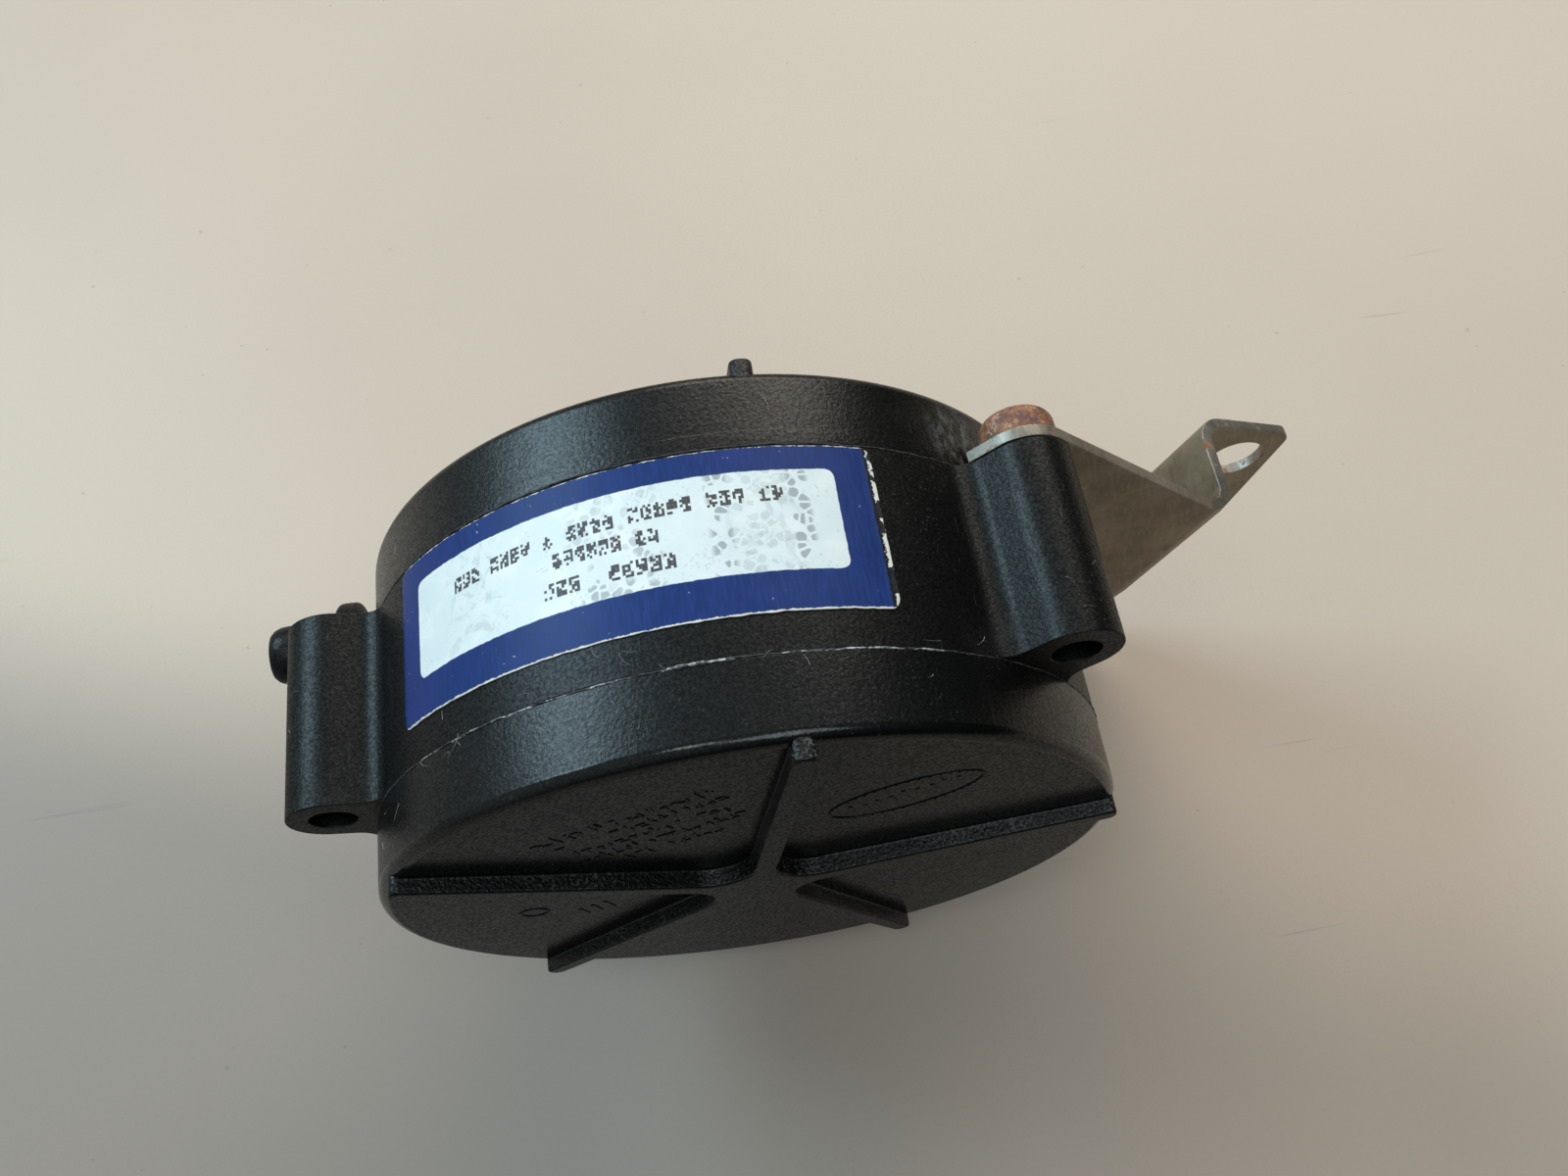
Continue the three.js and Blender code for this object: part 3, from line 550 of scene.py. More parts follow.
def zinc(name, tone=1.0, rust=0.35, tint=(1.0, 1.0, 1.0)):
    """Dull zinc plate with brown patina, grime and rust blooms."""
    f = Finish(name)
    cloud = f.noise(130, 6, 0.62)
    brushed = f.streaks((1800, 260, 260), 3, 0.6, (0.2, 0.5, 0.9))
    dull, clean, bright = (
        tuple(c * tone * t for c, t in zip(colour, tint))
        for colour in ((0.27, 0.25, 0.225), (0.47, 0.455, 0.43), (0.56, 0.56, 0.56))
    )
    base = f.mix(f.between(cloud, 0.35, 0.68), dull, clean)
    base = f.mix(f.times(f.between(brushed, 0.45, 0.70), 0.35), base, bright)
    grime = f.spots(0.52, 0.72, 900, 5, 0.7)
    base = f.tint(base, grime, 0.45, (0.12, 0.105, 0.085))
    bloom = f.spots(0.60 - 0.10 * rust, 0.70 - 0.08 * rust, 260, 6, 0.7)
    fleck = f.spots(0.60, 0.70, 1500, 4, 0.7)
    rusty = f.times(f.most(bloom, f.times(fleck, 0.5)),
                   min(1.0, rust * 1.6))
    rust_colour = f.mix(f.noise(1900, 4), (0.20, 0.055, 0.016), (0.42, 0.19, 0.06))
    colour = f.mix(rusty, base, rust_colour)
    metal = f.blend(rusty, 0.85, 0.1)
    rough = f.blend(rusty, f.blend(cloud, 0.34, 0.52), 0.85)
    skin = f.bump(f.noise(3800, 4, 0.6), 0.22, 0.00004)
    skin = f.bump(rusty, 0.35, 0.00008, skin)
    return f.use(Base_Color=colour, Metallic=metal, Roughness=rough, Normal=skin)


def rusted_head():
    """A screw head: orange, white and violet mottling over zinc."""
    f = Finish("rusty_screw_head")
    large = f.noise(420, 5, 0.65)
    small = f.noise(1600, 5, 0.7)
    base = f.mix(f.between(large, 0.36, 0.62), (0.17, 0.075, 0.055), (0.40, 0.17, 0.075))
    base = f.mix(f.between(small, 0.50, 0.66), base, (0.52, 0.30, 0.17))
    violet = f.times(f.spots(0.50, 0.62, 700, 3), 0.6)
    base = f.mix(violet, base, (0.105, 0.055, 0.085))
    salts = f.spots(0.60, 0.68, 900, 5, 0.7)
    base = f.tint(base, salts, 0.7, (0.62, 0.55, 0.46))
    dark = f.spots(0.66, 0.72, 2300, 3)
    base = f.mix(dark, base, (0.03, 0.02, 0.02))
    skin = f.bump(small, 0.55, 0.00012)
    skin = f.bump(f.noise(5200, 3), 0.30, 0.00004, skin)
    return f.use(Base_Color=base, Metallic=0.15, Roughness=f.blend(salts, 0.62, 0.85), Normal=skin)


def worked_metal(name, low, high, roughness=0.35, metallic=0.95):
    f = Finish(name)
    cloud = f.noise(300, 5, 0.6)
    lines = f.streaks((400, 400, 3200), 3, 0.5, (0.4, 0.2, 0.1))
    base = f.mix(f.between(cloud, 0.35, 0.70), low, high)
    tarnish = f.spots(0.58, 0.74, 900, 4, 0.7)
    base = f.tint(base, tarnish, 0.4, (low[0] * 0.4, low[1] * 0.35, low[2] * 0.3))
    rough = f.blend(lines, roughness - 0.08, roughness + 0.16)
    skin = f.bump(lines, 0.15, 0.00003)
    return f.use(Base_Color=base, Metallic=metallic, Roughness=rough, Normal=skin)


def soft_polymer(name, low, high, roughness=0.6):
    f = Finish(name)
    base = f.mix(f.spots(0.35, 0.7, 260, 5), low, high)
    powder = f.spots(0.60, 0.74, 1600, 3)
    base = f.tint(base, powder, 0.25, (0.7, 0.68, 0.62))
    rough = f.blend(f.noise(700, 3), roughness - 0.1, roughness + 0.15)
    skin = f.bump(f.noise(2600, 4, 0.6), 0.25, 0.00005)
    return f.use(Base_Color=base, Roughness=rough, Normal=skin)


def table_top():
    """Pale laminate with faint scratches; its near side, more so on the left, is painted darker as
    painted shade.
    """
    f = Finish("laminate_table")
    x, y, _ = f.axes()
    cloud = f.noise(6, 4, 0.5)
    base = f.mix(f.between(cloud, 0.3, 0.7), (0.640, 0.510, 0.412), (0.690, 0.554, 0.450))
    grain = f.noise(1500, 3, 0.6)
    base = f.mix(f.times(f.between(grain, 0.4, 0.7), 0.10), base, (0.45, 0.41, 0.36))
    scratch = f.between(f.streaks((14, 420, 1), 2, 0.5, (0, 0, 0.9), 0.6), 0.70, 0.73)
    mark = f.times(scratch, f.spots(0.52, 0.66, 18, 2))
    base = f.tint(base, mark, 0.30, (0.30, 0.27, 0.24))
    speck = f.spots(0.745, 0.77, 380, 2)
    base = f.tint(base, speck, 0.35, (0.30, 0.27, 0.23))
    # Painted shade: the near side of the table, deeper on the left, is mixed towards a dark
    # blue-grey in its colour.
    painted_shade_near = f.between(f.plus(y, f.times(x, 0.4)), 0.022, -0.034)
    painted_shade_depth = f.between(x, 0.02, -0.07, 0.33, 0.50)
    base = f.mix(f.times(painted_shade_near, painted_shade_depth), base, (0.02, 0.04, 0.06))
    rough = f.blend(cloud, 0.45, 0.55)
    skin = f.bump(grain, 0.08, 0.00005)
    return f.use(Base_Color=base, Roughness=rough, Normal=skin, Specular_IOR_Level=0.3)


housing_plastic = black_plastic("housing_plastic", matting=0.46)
cover_plastic = black_plastic("cover_plastic", dust_and_glints=0.8, gloss=0.26, matting=0.28, worn=True)
face_plastic = black_plastic(
    "face_plastic", dust_and_glints=0.15, gloss=0.17, scuff=0.15, grain=0.3, matting=0.52)
# The ribs' sides get many light specks: partly dust, partly painted glints of their grainy
# moulding.
rib_plastic = black_plastic(
    "rib_plastic", dust_and_glints=2.6, gloss=0.26, scuff=0.2, grain=2.6, matting=0.34, clean=0.54)
rim_plastic = black_plastic(
    "rim_plastic", dust_and_glints=0.5, gloss=0.12, scuff=0.3, grain=0.4, matting=0.20)
zinc_face = zinc("bracket_face", 0.55, 0.25, (1.06, 0.94, 0.72))
zinc_edge = zinc("bracket_edge", 0.72, 0.75, (1.03, 0.98, 0.90))
head_rust = rusted_head()
screw_shank = zinc("screw_shank", 0.8, 0.5)
film = label_film()

# ---- covers


def star_outline(arms, side, end):
    """The star of ribs. side widens the arms and end lengthens them."""
    points = []
    step = 360 / arms
    half = RIB_WIDTH / 2
    centre = (half + RIB_FILLET) / math.sin(math.radians(step / 2))
    round_end = 0.9  # any rounder, and the narrowed top's outline would cross itself
    for arm in range(arms):
        angle = RIB_FIRST + arm * step
        turn = Matrix.Rotation(math.radians(angle), 2)
        reach = RIB_END + end - round_end
        width = half + min(side, 0.0) - round_end
        tip = arc((reach, -width), round_end, -90, 0, 5) + arc((reach, width), round_end, 0, 90, 5)
        points += [turn @ p for p in tip]
        middle = polar(centre, angle + step / 2)
        points += arc(middle, RIB_FILLET - side, angle - 90, angle + step - 270, 16)
    return points


def star(arms, floor, top, hub_rise):
    """Ribs from inside a cover's floor to their tops, which slope a little down to the rim."""
    direction = 1 if top > floor else -1
    bm = bmesh.new()
    at_floor = [(0.0, -RIB_ROOT), (0.32, -0.03), (0.16, 0.04), (0.06, 0.12), (0.0, 0.30)]
    at_top = [(0.0, -0.34), (-0.04, -0.19), (-0.13, -0.08), (-0.28, -0.01), (-0.36, 0.0)]
    rings = []
    for side, height in at_floor:
        rings.append(ring_at(bm, floor + direction * height, star_outline(arms, side, 0.0)))
    for side, height in at_top:
        rings.append([
            bm.verts.new((p.x, p.y, top + direction * (height - hub_rise * p.length / RIB_END)))
            for p in star_outline(arms, side, side)
        ])
    join_rings(bm, rings)
    for ring, z in ((rings[0], floor - direction * RIB_ROOT), (rings[-1], top)):
        middle = bm.verts.new((0, 0, z))
        for i in range(len(ring)):
            bm.faces.new((ring[i], ring[(i + 1) % len(ring)], middle))
    return bm


def finish_star(name, bm):
    """The ribs' tops are as smooth as the floor, and their sides are coarser, with light specks
    that are partly dust and partly painted glints.
    """
    piece = finish_piece(name, bm, [rib_plastic, face_plastic])
    for polygon in piece.data.polygons:
        polygon.material_index = int(abs(polygon.normal.z) > 0.6)
    return piece


front_profile = (
    [(0, FRONT_INSIDE), (CHAMBER, FRONT_INSIDE), (CHAMBER, 1.2), (BEAD_GROOVE, 1.2),
     (BEAD_GROOVE, WELD_GAP), (RADIUS - 0.12, WELD_GAP), (RADIUS - 0.03, 0.1), (RADIUS, 0.2)]
    + rounded(RADIUS - EDGE, FRONT_FLOOR - EDGE, EDGE, 0, 90, 9)
    + [(RADIUS - 4, FRONT_FLOOR), (24, FRONT_FLOOR), (0, FRONT_FLOOR)]
)
front_shell = finish_piece("front_cover_shell", turned(front_profile, 240),
                           [cover_plastic, face_plastic, rim_plastic])
for polygon in front_shell.data.polygons:
    z = polygon.center.z / MM
    if z > FRONT_FLOOR - EDGE:
        polygon.material_index = 1 if z > FRONT_FLOOR - 0.02 else 2
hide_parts("front_cover")
finish_star("front_cover_ribs", star(FRONT_RIBS, FRONT_FLOOR, FRONT_RIB_TOP, 0.5))

step_z = REAR_JOINT - 1.95
rear_profile = (
    [(CALIBRATION_BORE, REAR_FLOOR), (20, REAR_FLOOR), (RADIUS - 4, REAR_FLOOR)]
    + rounded(RADIUS - 0.15 - EDGE, REAR_FLOOR + EDGE, EDGE, -90, 0, 9)
    + [(RADIUS - 0.15, step_z - 0.08), (RADIUS - 0.13, step_z - 0.02),
       (RADIUS - 0.02, step_z + 0.03), (RADIUS, step_z + 0.12), (RADIUS, REAR_JOINT - 0.2),
       (RADIUS - 0.03, REAR_JOINT - 0.1),
       (RADIUS - 0.12, REAR_JOINT - WELD_GAP), (CHAMBER, REAR_JOINT - WELD_GAP),
       (CHAMBER, REAR_INSIDE), (6, REAR_INSIDE), (6, ADJUSTER_BORE_DEPTH),
       (CALIBRATION_BORE, ADJUSTER_BORE_DEPTH)]
)
rear_shell = finish_piece("rear_cover_shell", turned(rear_profile, 240), [cover_plastic])
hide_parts("rear_cover")

rear_star = finish_star("rear_cover_ribs", star(REAR_RIBS, REAR_FLOOR, REAR_RIB_TOP, 0.4))
bore_cut = turned(
    [(0, -40), (CALIBRATION_BORE, -40), (CALIBRATION_BORE, -30), (0, -30)], 64, closed=False)
cut(rear_star, bore_cut)
hub_profile = (
    [(CALIBRATION_BORE, REAR_FLOOR + 0.5), (8.9, REAR_FLOOR + 0.5), (8.9, REAR_FLOOR),
     (8.6, REAR_FLOOR - 0.15), (8.5, REAR_FLOOR - 0.4)]
    + rounded(8.2, REAR_RIB_TOP + 0.3, 0.3, 0, -90, 4)
    + rounded(3.0, REAR_RIB_TOP + 0.3, 0.3, -90, -180, 4)
)
finish_piece("rear_cover_hub", turned(hub_profile, 96), [cover_plastic])

nipple_turn = (
    rotation(NIPPLE_ANGLE)
    @ Matrix.Translation((0, 0, NIPPLE_Z))
    @ rotation(90, "Y")
)
nipple_profile = (
    [(NIPPLE_BORE, CHAMBER + 0.6), (3.2, CHAMBER + 1.0), (3.2, RADIUS + 0.2), (3.1, RADIUS + 0.6),
     (3.1, RADIUS + 1.4), (3.3, RADIUS + 1.75), (3.8, RADIUS + 1.95)]
    + rounded(5.1, RADIUS + 2.85, 0.9, -90, 0, 6)
    + rounded(5.1, RADIUS + 4.2, 0.9, 0, 90, 6)
    + [(3.8, RADIUS + 5.15), (3.3, RADIUS + 5.3), (3.1, RADIUS + 5.6), (3.1, NIPPLE_TIP - 5.2),
       (3.25, NIPPLE_TIP - 4.95), (3.7, NIPPLE_TIP - 4.35), (3.83, NIPPLE_TIP - 3.9),
       (3.85, NIPPLE_TIP - 2.3), (3.75, NIPPLE_TIP - 1.4), (3.4, NIPPLE_TIP - 0.6),
       (2.95, NIPPLE_TIP - 0.15), (2.4, NIPPLE_TIP), (1.9, NIPPLE_TIP),
       (NIPPLE_BORE, NIPPLE_TIP - 0.3)]
)
finish_piece("hose_nipple", turned(nipple_profile, 72, place=nipple_turn), [housing_plastic])

# ---- middle housing


def housing_outline():
    """The ring's outer outline, counter-clockwise, with its three bosses."""
    points = []
    side = BOSS_HALF
    fillet_y = side + BOSS_FILLET
    fillet_x = math.sqrt((RADIUS + BOSS_FILLET) ** 2 - fillet_y ** 2)
    touch = math.degrees(math.atan2(fillet_y, fillet_x))
    for angle in BOSSES:
        turn = Matrix.Rotation(math.radians(angle), 2)
        shape = (
            arc((fillet_x, -fillet_y), BOSS_FILLET, 180 - touch, 90, 8)
            + arc((BOSS_REACH, 0), side, -90, 90, 32)
            + arc((fillet_x, fillet_y), BOSS_FILLET, 270, 180 + touch, 8)
        )
        points += [turn @ p for p in shape]
        start = angle + touch
        end = angle + 120 - touch
        steps = 66
        points += [polar(RADIUS, start + (end - start) * i / steps) for i in range(1, steps)]
    return points


boss_centres = [polar(BOSS_REACH, angle) for angle in BOSSES]
housing_loops = [housing_outline(), circle((0, 0), CHAMBER, 180)]
housing_loops += [circle(centre, BOSS_HOLE, 48) for centre in boss_centres]
housing_bm = slab(housing_loops, REAR_JOINT + WELD_GAP, -WELD_GAP, 0.16, 3)
housing = finish_piece("middle_housing_ring", housing_bm, [housing_plastic])
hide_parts("middle_housing")
slots = bmesh.new()
mechanism_turn = rotation(MECHANISM)
for y, top in ((0, -15.7), (16, -20.3)):
    block(slots, 35, 50, y - 3.475, y + 3.475, top - 1.1, top + 0.3, mechanism_turn)
cut(housing, slots)
cut(housing, turned([(40, 1), (BEAD_GROOVE, 1), (BEAD_GROOVE, -1.2), (40, -1.2)], 120))
partition_loops = [circle((0, 0), CHAMBER, 120, clockwise=False), circle((0, 0), PIN_BORE, 32)]
partition_loops += [circle(polar(22, a), 2.0, 24) for a in (90, 210, 330)]
partition_bm = slab(partition_loops, PARTITION_REAR, PARTITION_FRONT, 0.15, 2)
finish_piece("middle_housing_partition", partition_bm, [housing_plastic])
guide_profile = [(PIN_BORE, -12), (5, -12), (5, -8.9), (PIN_BORE, -8.9)]
finish_piece("middle_housing_guide", turned(guide_profile, 48), [housing_plastic])

# ---- weld flash and lint


def flash_height(degrees, seed):
    p = Vector((math.cos(math.radians(degrees)), math.sin(math.radians(degrees)), seed))
    rough = noise.fractal(p * 34, 0.8, 2.1, 5)
    broad = noise.noise(p * 5 + Vector((seed, 0, 0)))
    return max(0.0, 0.10 + 0.16 * rough + 0.10 * broad)


def joint_flash(name, z, seed, material, spans, boost):
    """A thin torn lip of plastic along a welded joint, over some spans of the circle."""
    bm = bmesh.new()
    for start, end, strength in spans:
        steps = max(8, int((end - start) * 4))
        rings = []
        for i in range(steps + 1):
            t = i / steps
            angle = start + (end - start) * t
            fade = min(1.0, 8 * t, 8 * (1 - t))
            lip = flash_height(angle, seed) * strength * boost * fade + 0.015
            drift = 0.10 * noise.noise(Vector((angle * 0.5, seed, 1.7)))
            ragged = abs(noise.noise(Vector((angle * 1.9, seed, 4.0))))
            width = (0.05 + 0.05 * ragged) * (0.6 + strength)
            ring = []
            for radius, offset in ((RADIUS - 0.2, -width), (RADIUS - 0.2, width),
                                   (RADIUS + lip * 0.8, width * 0.7), (RADIUS + lip, 0.0),
                                   (RADIUS + lip * 0.8, -width * 0.7)):
                p = polar(radius, angle)
                ring.append(bm.verts.new((p.x, p.y, z + drift + offset)))
            rings.append(ring)
        join_rings(bm, rings)
        bm.faces.new(rings[0])
        bm.faces.new(rings[-1][::-1])
    return finish_piece(name, bm, [material], weighted=False)


def flash_material(name, low, high):
    f = Finish(name)
    broken = f.spots(0.42, 0.60, 1300, 4, 0.7)
    colour = f.mix(broken, low, high)
    skin = f.bump(f.noise(4200, 3), 0.5, 0.00008)
    return f.use(Base_Color=colour, Roughness=f.blend(broken, 0.5, 0.75), Normal=skin)


pale_flash = flash_material("pale_weld_flash", (0.10, 0.10, 0.10), (0.62, 0.62, 0.60))
dark_flash = flash_material("dark_weld_flash", (0.010, 0.010, 0.012), (0.055, 0.055, 0.06))
joint_flash("front_joint_flash", 0.0, 1.3, dark_flash, [(48, 408, 1.0)], 0.7)
joint_flash("front_joint_pale_flash", 0.02, 2.6, pale_flash, [
    (77.0, 86.2, 1.9), (86.5, 92.5, 0.35), (92.5, 96.5, 0.75), (97.5, 103.0, 0.5),
    (104.0, 112.0, 1.1), (113.0, 118.5, 0.6), (66.0, 71.5, 0.75), (60.0, 65.5, 1.1),
    (54.5, 59.8, 1.0), (48.6, 53.2, 0.7), (12.0, 17.5, 0.6), (121.0, 126.0, 0.5),
], 1.0)
joint_flash("rear_joint_flash", REAR_JOINT, 5.1, dark_flash, [(40, 400, 1.0)], 0.6)


def lint(name, count, seed, pick, thickness=0.018):
    """Small curled fibres lying on a surface; pick gives a start point, a normal and a drift."""
    rng = random.Random(seed)
    bm = bmesh.new()
    for _ in range(count):
        place, normal = pick(rng)
        length = rng.uniform(0.7, 2.6)
        side = normal.orthogonal().normalized()
        side.rotate(Matrix.Rotation(rng.uniform(0, 2 * math.pi), 3, normal))
        other = normal.cross(side)
        bend = rng.uniform(-1.1, 1.1)
        rings = []
        steps = 9
        for i in range(steps + 1):
            t = i / steps
            heading = bend * (t - 0.3) * 2
            p = (place + side * (length * t) + other * (length * 0.5 * math.sin(heading) * t)
                 + normal * (0.05 + 0.22 * t * (1 - t)))
            radius = thickness * (1 - 0.6 * t)
            rings.append([
                bm.verts.new(p + (normal * math.cos(a) + other * math.sin(a)) * radius)
                for a in (0, 2.094, 4.189)
            ])
        join_rings(bm, rings)
    return finish_piece(name, bm, [fibre], weighted=False)


fibre_finish = Finish("lint_fibre")
fibre_tone = fibre_finish.noise(700, 3)
fibre = fibre_finish.use(
    Base_Color=fibre_finish.mix(fibre_tone, (0.42, 0.41, 0.40), (0.72, 0.71, 0.69)),
    Roughness=fibre_finish.blend(fibre_finish.noise(900, 2), 0.6, 0.85),
)


def on_wall(rng):
    angle = rng.choice((rng.uniform(56, 130), rng.uniform(40, 150), rng.uniform(0, 360)))
    z = rng.choice((rng.uniform(-4, 6), rng.uniform(-32, -24.5), rng.uniform(-3.5, 1)))
    p = polar(RADIUS, angle)
    return Vector((p.x, p.y, z)), Vector((p.x, p.y, 0)).normalized()


def on_boss(rng):
    angle = rng.choice(BOSSES[:2])
    spread = rng.uniform(-80, 80)
    p = polar(BOSS_REACH, angle) + polar(BOSS_HALF, angle + spread)
    out = polar(1, angle + spread)
    return Vector((p.x, p.y, rng.uniform(-22, -2))), Vector((out.x, out.y, 0))


lint("lint_on_wall", 46, 3, on_wall)
lint("lint_on_bosses", 16, 5, on_boss)

# ---- label


def rounded_rectangle(x0, x1, y0, y1, radius, wobble, seed):
    """A cut paper outline whose edges waver a little."""
    corners = (
        arc((x1 - radius, y0 + radius), radius, -90, 0, 6)
        + arc((x1 - radius, y1 - radius), radius, 0, 90, 6)
        + arc((x0 + radius, y1 - radius), radius, 90, 180, 6)
        + arc((x0 + radius, y0 + radius), radius, 180, 270, 6)
    )
    points = []
    for a, b in zip(corners, corners[1:] + corners[:1]):
        steps = max(1, int((b - a).length / 0.5))
        points += [a.lerp(b, i / steps) for i in range(steps)]
    shaken = []
    for p in points:
        q = Vector((p.x * 1.1, p.y * 1.1, seed))
        shaken.append(p + Vector((noise.noise(q), noise.noise(q + Vector((9, 0, 0))))) * wobble)
    return shaken


def wrap(bm, cuts):
    """Bends the flat label, whose x is an angle times the radius, round the housing."""
    slice_at(bm, cuts)
    for vertex in bm.verts:
        x, y, z = vertex.co
        degrees = math.degrees(x / RADIUS)
        p = polar(label_radius(degrees, y) + z, degrees)
        vertex.co = Vector((p.x, p.y, y))
    return bm


def label_radius(degrees, z):
    lifted = 0.16 * max(0.0, 1 - (degrees - LABEL_START) / 1.2) ** 2
    return RADIUS + 0.03 + lifted + 0.03 * noise.noise(Vector((degrees * 0.25, z * 0.3, 2)))


degree_arc = math.radians(1) * RADIUS
outline = rounded_rectangle(
    LABEL_START * degree_arc, LABEL_END * degree_arc, LABEL_REAR, LABEL_FRONT, 1.1, 0.10, 3.3)
label_cuts = [a * degree_arc for a in range(int(LABEL_START) + 1, int(LABEL_END) + 1)]
label_bm = wrap(slab([outline], 0, LABEL_THICKNESS, 0.04, 2), label_cuts)
label = finish_piece("label_sheet", label_bm, [film], sharp=50)
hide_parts("label")

ink_finish = Finish("label_ink")
ink_cover = ink_finish.between(ink_finish.noise(5200, 3, 0.7), 0.30, 0.55)
ink = ink_finish.use(
    Base_Color=ink_finish.mix(ink_cover, (0.16, 0.16, 0.17), (0.040, 0.038, 0.042)),
    Roughness=ink_finish.blend(ink_finish.noise(1500, 2), 0.45, 0.65),
)


def print_lines():
    """Three lines of dot-matrix grain with the photo's spacing and weight, spelling nothing."""
    rng = random.Random(11)
    bm = bmesh.new()
    lines = (
        (116.4, 67.3, -17.0, -17.9, 1.75, (3, 4, 1, 4, 5, 3, 2)),
        (99.4, 84.3, -14.7, -14.7, 1.75, (6, 2)),
        (101.0, 82.4, -11.5, -11.5, 1.75, (3, 0, 5)),
    )
    for start, end, z_left, z_right, high, groups in lines:
        cells = sum(groups) + len(groups) - 1
        pitch = (start - end) / cells
        cell = 0
        for group in groups:
            for _ in range(group):
                t = (cell + 0.5) / cells
                dot_block(bm, rng, start - t * (start - end), z_left + (z_right - z_left) * t,
                          pitch * 0.80, high)
                cell += 1
            cell += 1
    return bm


def dot_block(bm, rng, degrees, z, wide, high):
    """A small grid of ink dots, some of them missing."""
    columns, rows = 4, 6
    for i in range(columns):
        for j in range(rows):
            if rng.random() < 0.62:
                a = degrees + wide * ((i + 0.5) / columns - 0.5)
                h = z + high * ((j + 0.5) / rows - 0.5)
                dot(bm, a, h, wide / columns * 1.04, high / rows * 1.04)


def dot(bm, degrees, z, wide, high):
    """A small raised patch of ink, wide in degrees and high in millimetres."""
    rows = []
    for a in (degrees - wide / 2, degrees + wide / 2):
        p = polar(label_radius(a, z) + LABEL_THICKNESS + 0.012, a)
        rows.append([bm.verts.new((p.x, p.y, z + rise)) for rise in (-high / 2, high / 2)])
    bm.faces.new((rows[0][0], rows[1][0], rows[1][1], rows[0][1]))


finish_piece("label_print", print_lines(), [ink], weighted=False)

# ---- raised marks on the front cover


def raised_marks():
    """Rows of short raised strokes, an empty oval and a ring, in place of moulded wording."""
    rng = random.Random(21)
    bm = bmesh.new()
    heading = 14
    along = polar(1, heading)
    up = polar(1, heading + 90)

    def stroke(at, length, wide, turn, rise=0.10):
        place = Matrix.Translation((at.x, at.y, 0)) @ rotation(turn)
        block(bm, -length / 2, length / 2, -wide / 2, wide / 2, FRONT_FLOOR - 0.1,
              FRONT_FLOOR + rise, place)

    def ring(centre, half_length, half_height, wide):
        steps = 44
        for i in range(steps):
            a = 2 * math.pi * i / steps
            at = centre + along * (half_length * math.cos(a)) + up * (half_height * math.sin(a))
            slope = math.degrees(math.atan2(half_height * math.cos(a), -half_length * math.sin(a)))
            reach = math.hypot(half_height * math.cos(a), half_length * math.sin(a))
            stroke(at, 2 * math.pi / steps * reach * 1.25, wide, heading + slope)

    for row, width in enumerate((22, 22, 19, 21, 13)):
        origin = Vector((-5.5, 25.0)) + up * (5.8 - 2.9 * row)
        position = -width / 2
        while position < width / 2:
            if rng.random() > 0.14:
                for _ in range(2):
                    at = origin + along * (position + rng.uniform(-0.3, 0.3))
                    at += up * rng.uniform(-0.7, 0.7)
                    stroke(at, rng.uniform(0.7, 1.3), 0.24, heading + rng.choice((0, 90, 70)))
            position += 1.45
    oval = Vector((21.5, 18.5))
    ring(oval, 9.0, 4.2, 0.34)
    for k in range(9):
        at = oval + along * (1.6 * k - 6.4) + up * rng.uniform(-0.4, 0.4)
        stroke(at, rng.uniform(1.6, 3.0), 0.5, heading + 75)
    ring(Vector((-28.0, 2.6)), 1.7, 1.7, 0.4)
    for k in range(3):
        at = Vector((-23.0, -1.5)) + along * (1.9 * k)
        stroke(at, rng.uniform(2.2, 3.2), 0.45, heading + 80)
    return bm


finish_piece("front_cover_marks", raised_marks(), [face_plastic], weighted=False)

# ---- bracket

FIRST_ARC = math.pi / 2 * (BEND + SHEET / 2)
WEB_LENGTH = (TAB_FRONT - BEND - SHEET) - (FLANGE_FRONT + BEND)
WEB_START = FOLD + FIRST_ARC
SECOND_START = WEB_START + WEB_LENGTH
FLANGE_START = SECOND_START + FIRST_ARC


def bend_sheet(x, y, depth):
    """Where a point of the flat sheet goes: depth runs from its front side to its rear side."""
    if x <= FOLD:
        return Vector((x, y, TAB_FRONT - depth))
    outer = BEND + SHEET
    if x < WEB_START:
        turn = (x - FOLD) / FIRST_ARC * math.pi / 2
        radius = outer - depth
        drop = TAB_FRONT - outer + radius * math.cos(turn)
        return Vector((FOLD + radius * math.sin(turn), y, drop))
    face = FOLD + outer
    if x <= SECOND_START:
        return Vector((face - depth, y, TAB_FRONT - outer - (x - WEB_START)))
    centre_x, centre_z = face + BEND, FLANGE_FRONT + BEND
    if x < FLANGE_START:
        turn = (x - SECOND_START) / FIRST_ARC * math.pi / 2
        radius = BEND + depth
        return Vector((centre_x - radius * math.cos(turn), y, centre_z - radius * math.sin(turn)))
    return Vector((centre_x + x - FLANGE_START, y, FLANGE_FRONT - depth))


def flat_x(folded_x):
    """The flat sheet's x for a place on the flange."""
    return FLANGE_START + folded_x - (FOLD + BEND + SHEET + BEND)


def tangent_angle(centre, radius, point, side):
    away = point - centre
    return math.degrees(math.atan2(away.y, away.x) + side * math.acos(radius / away.length))


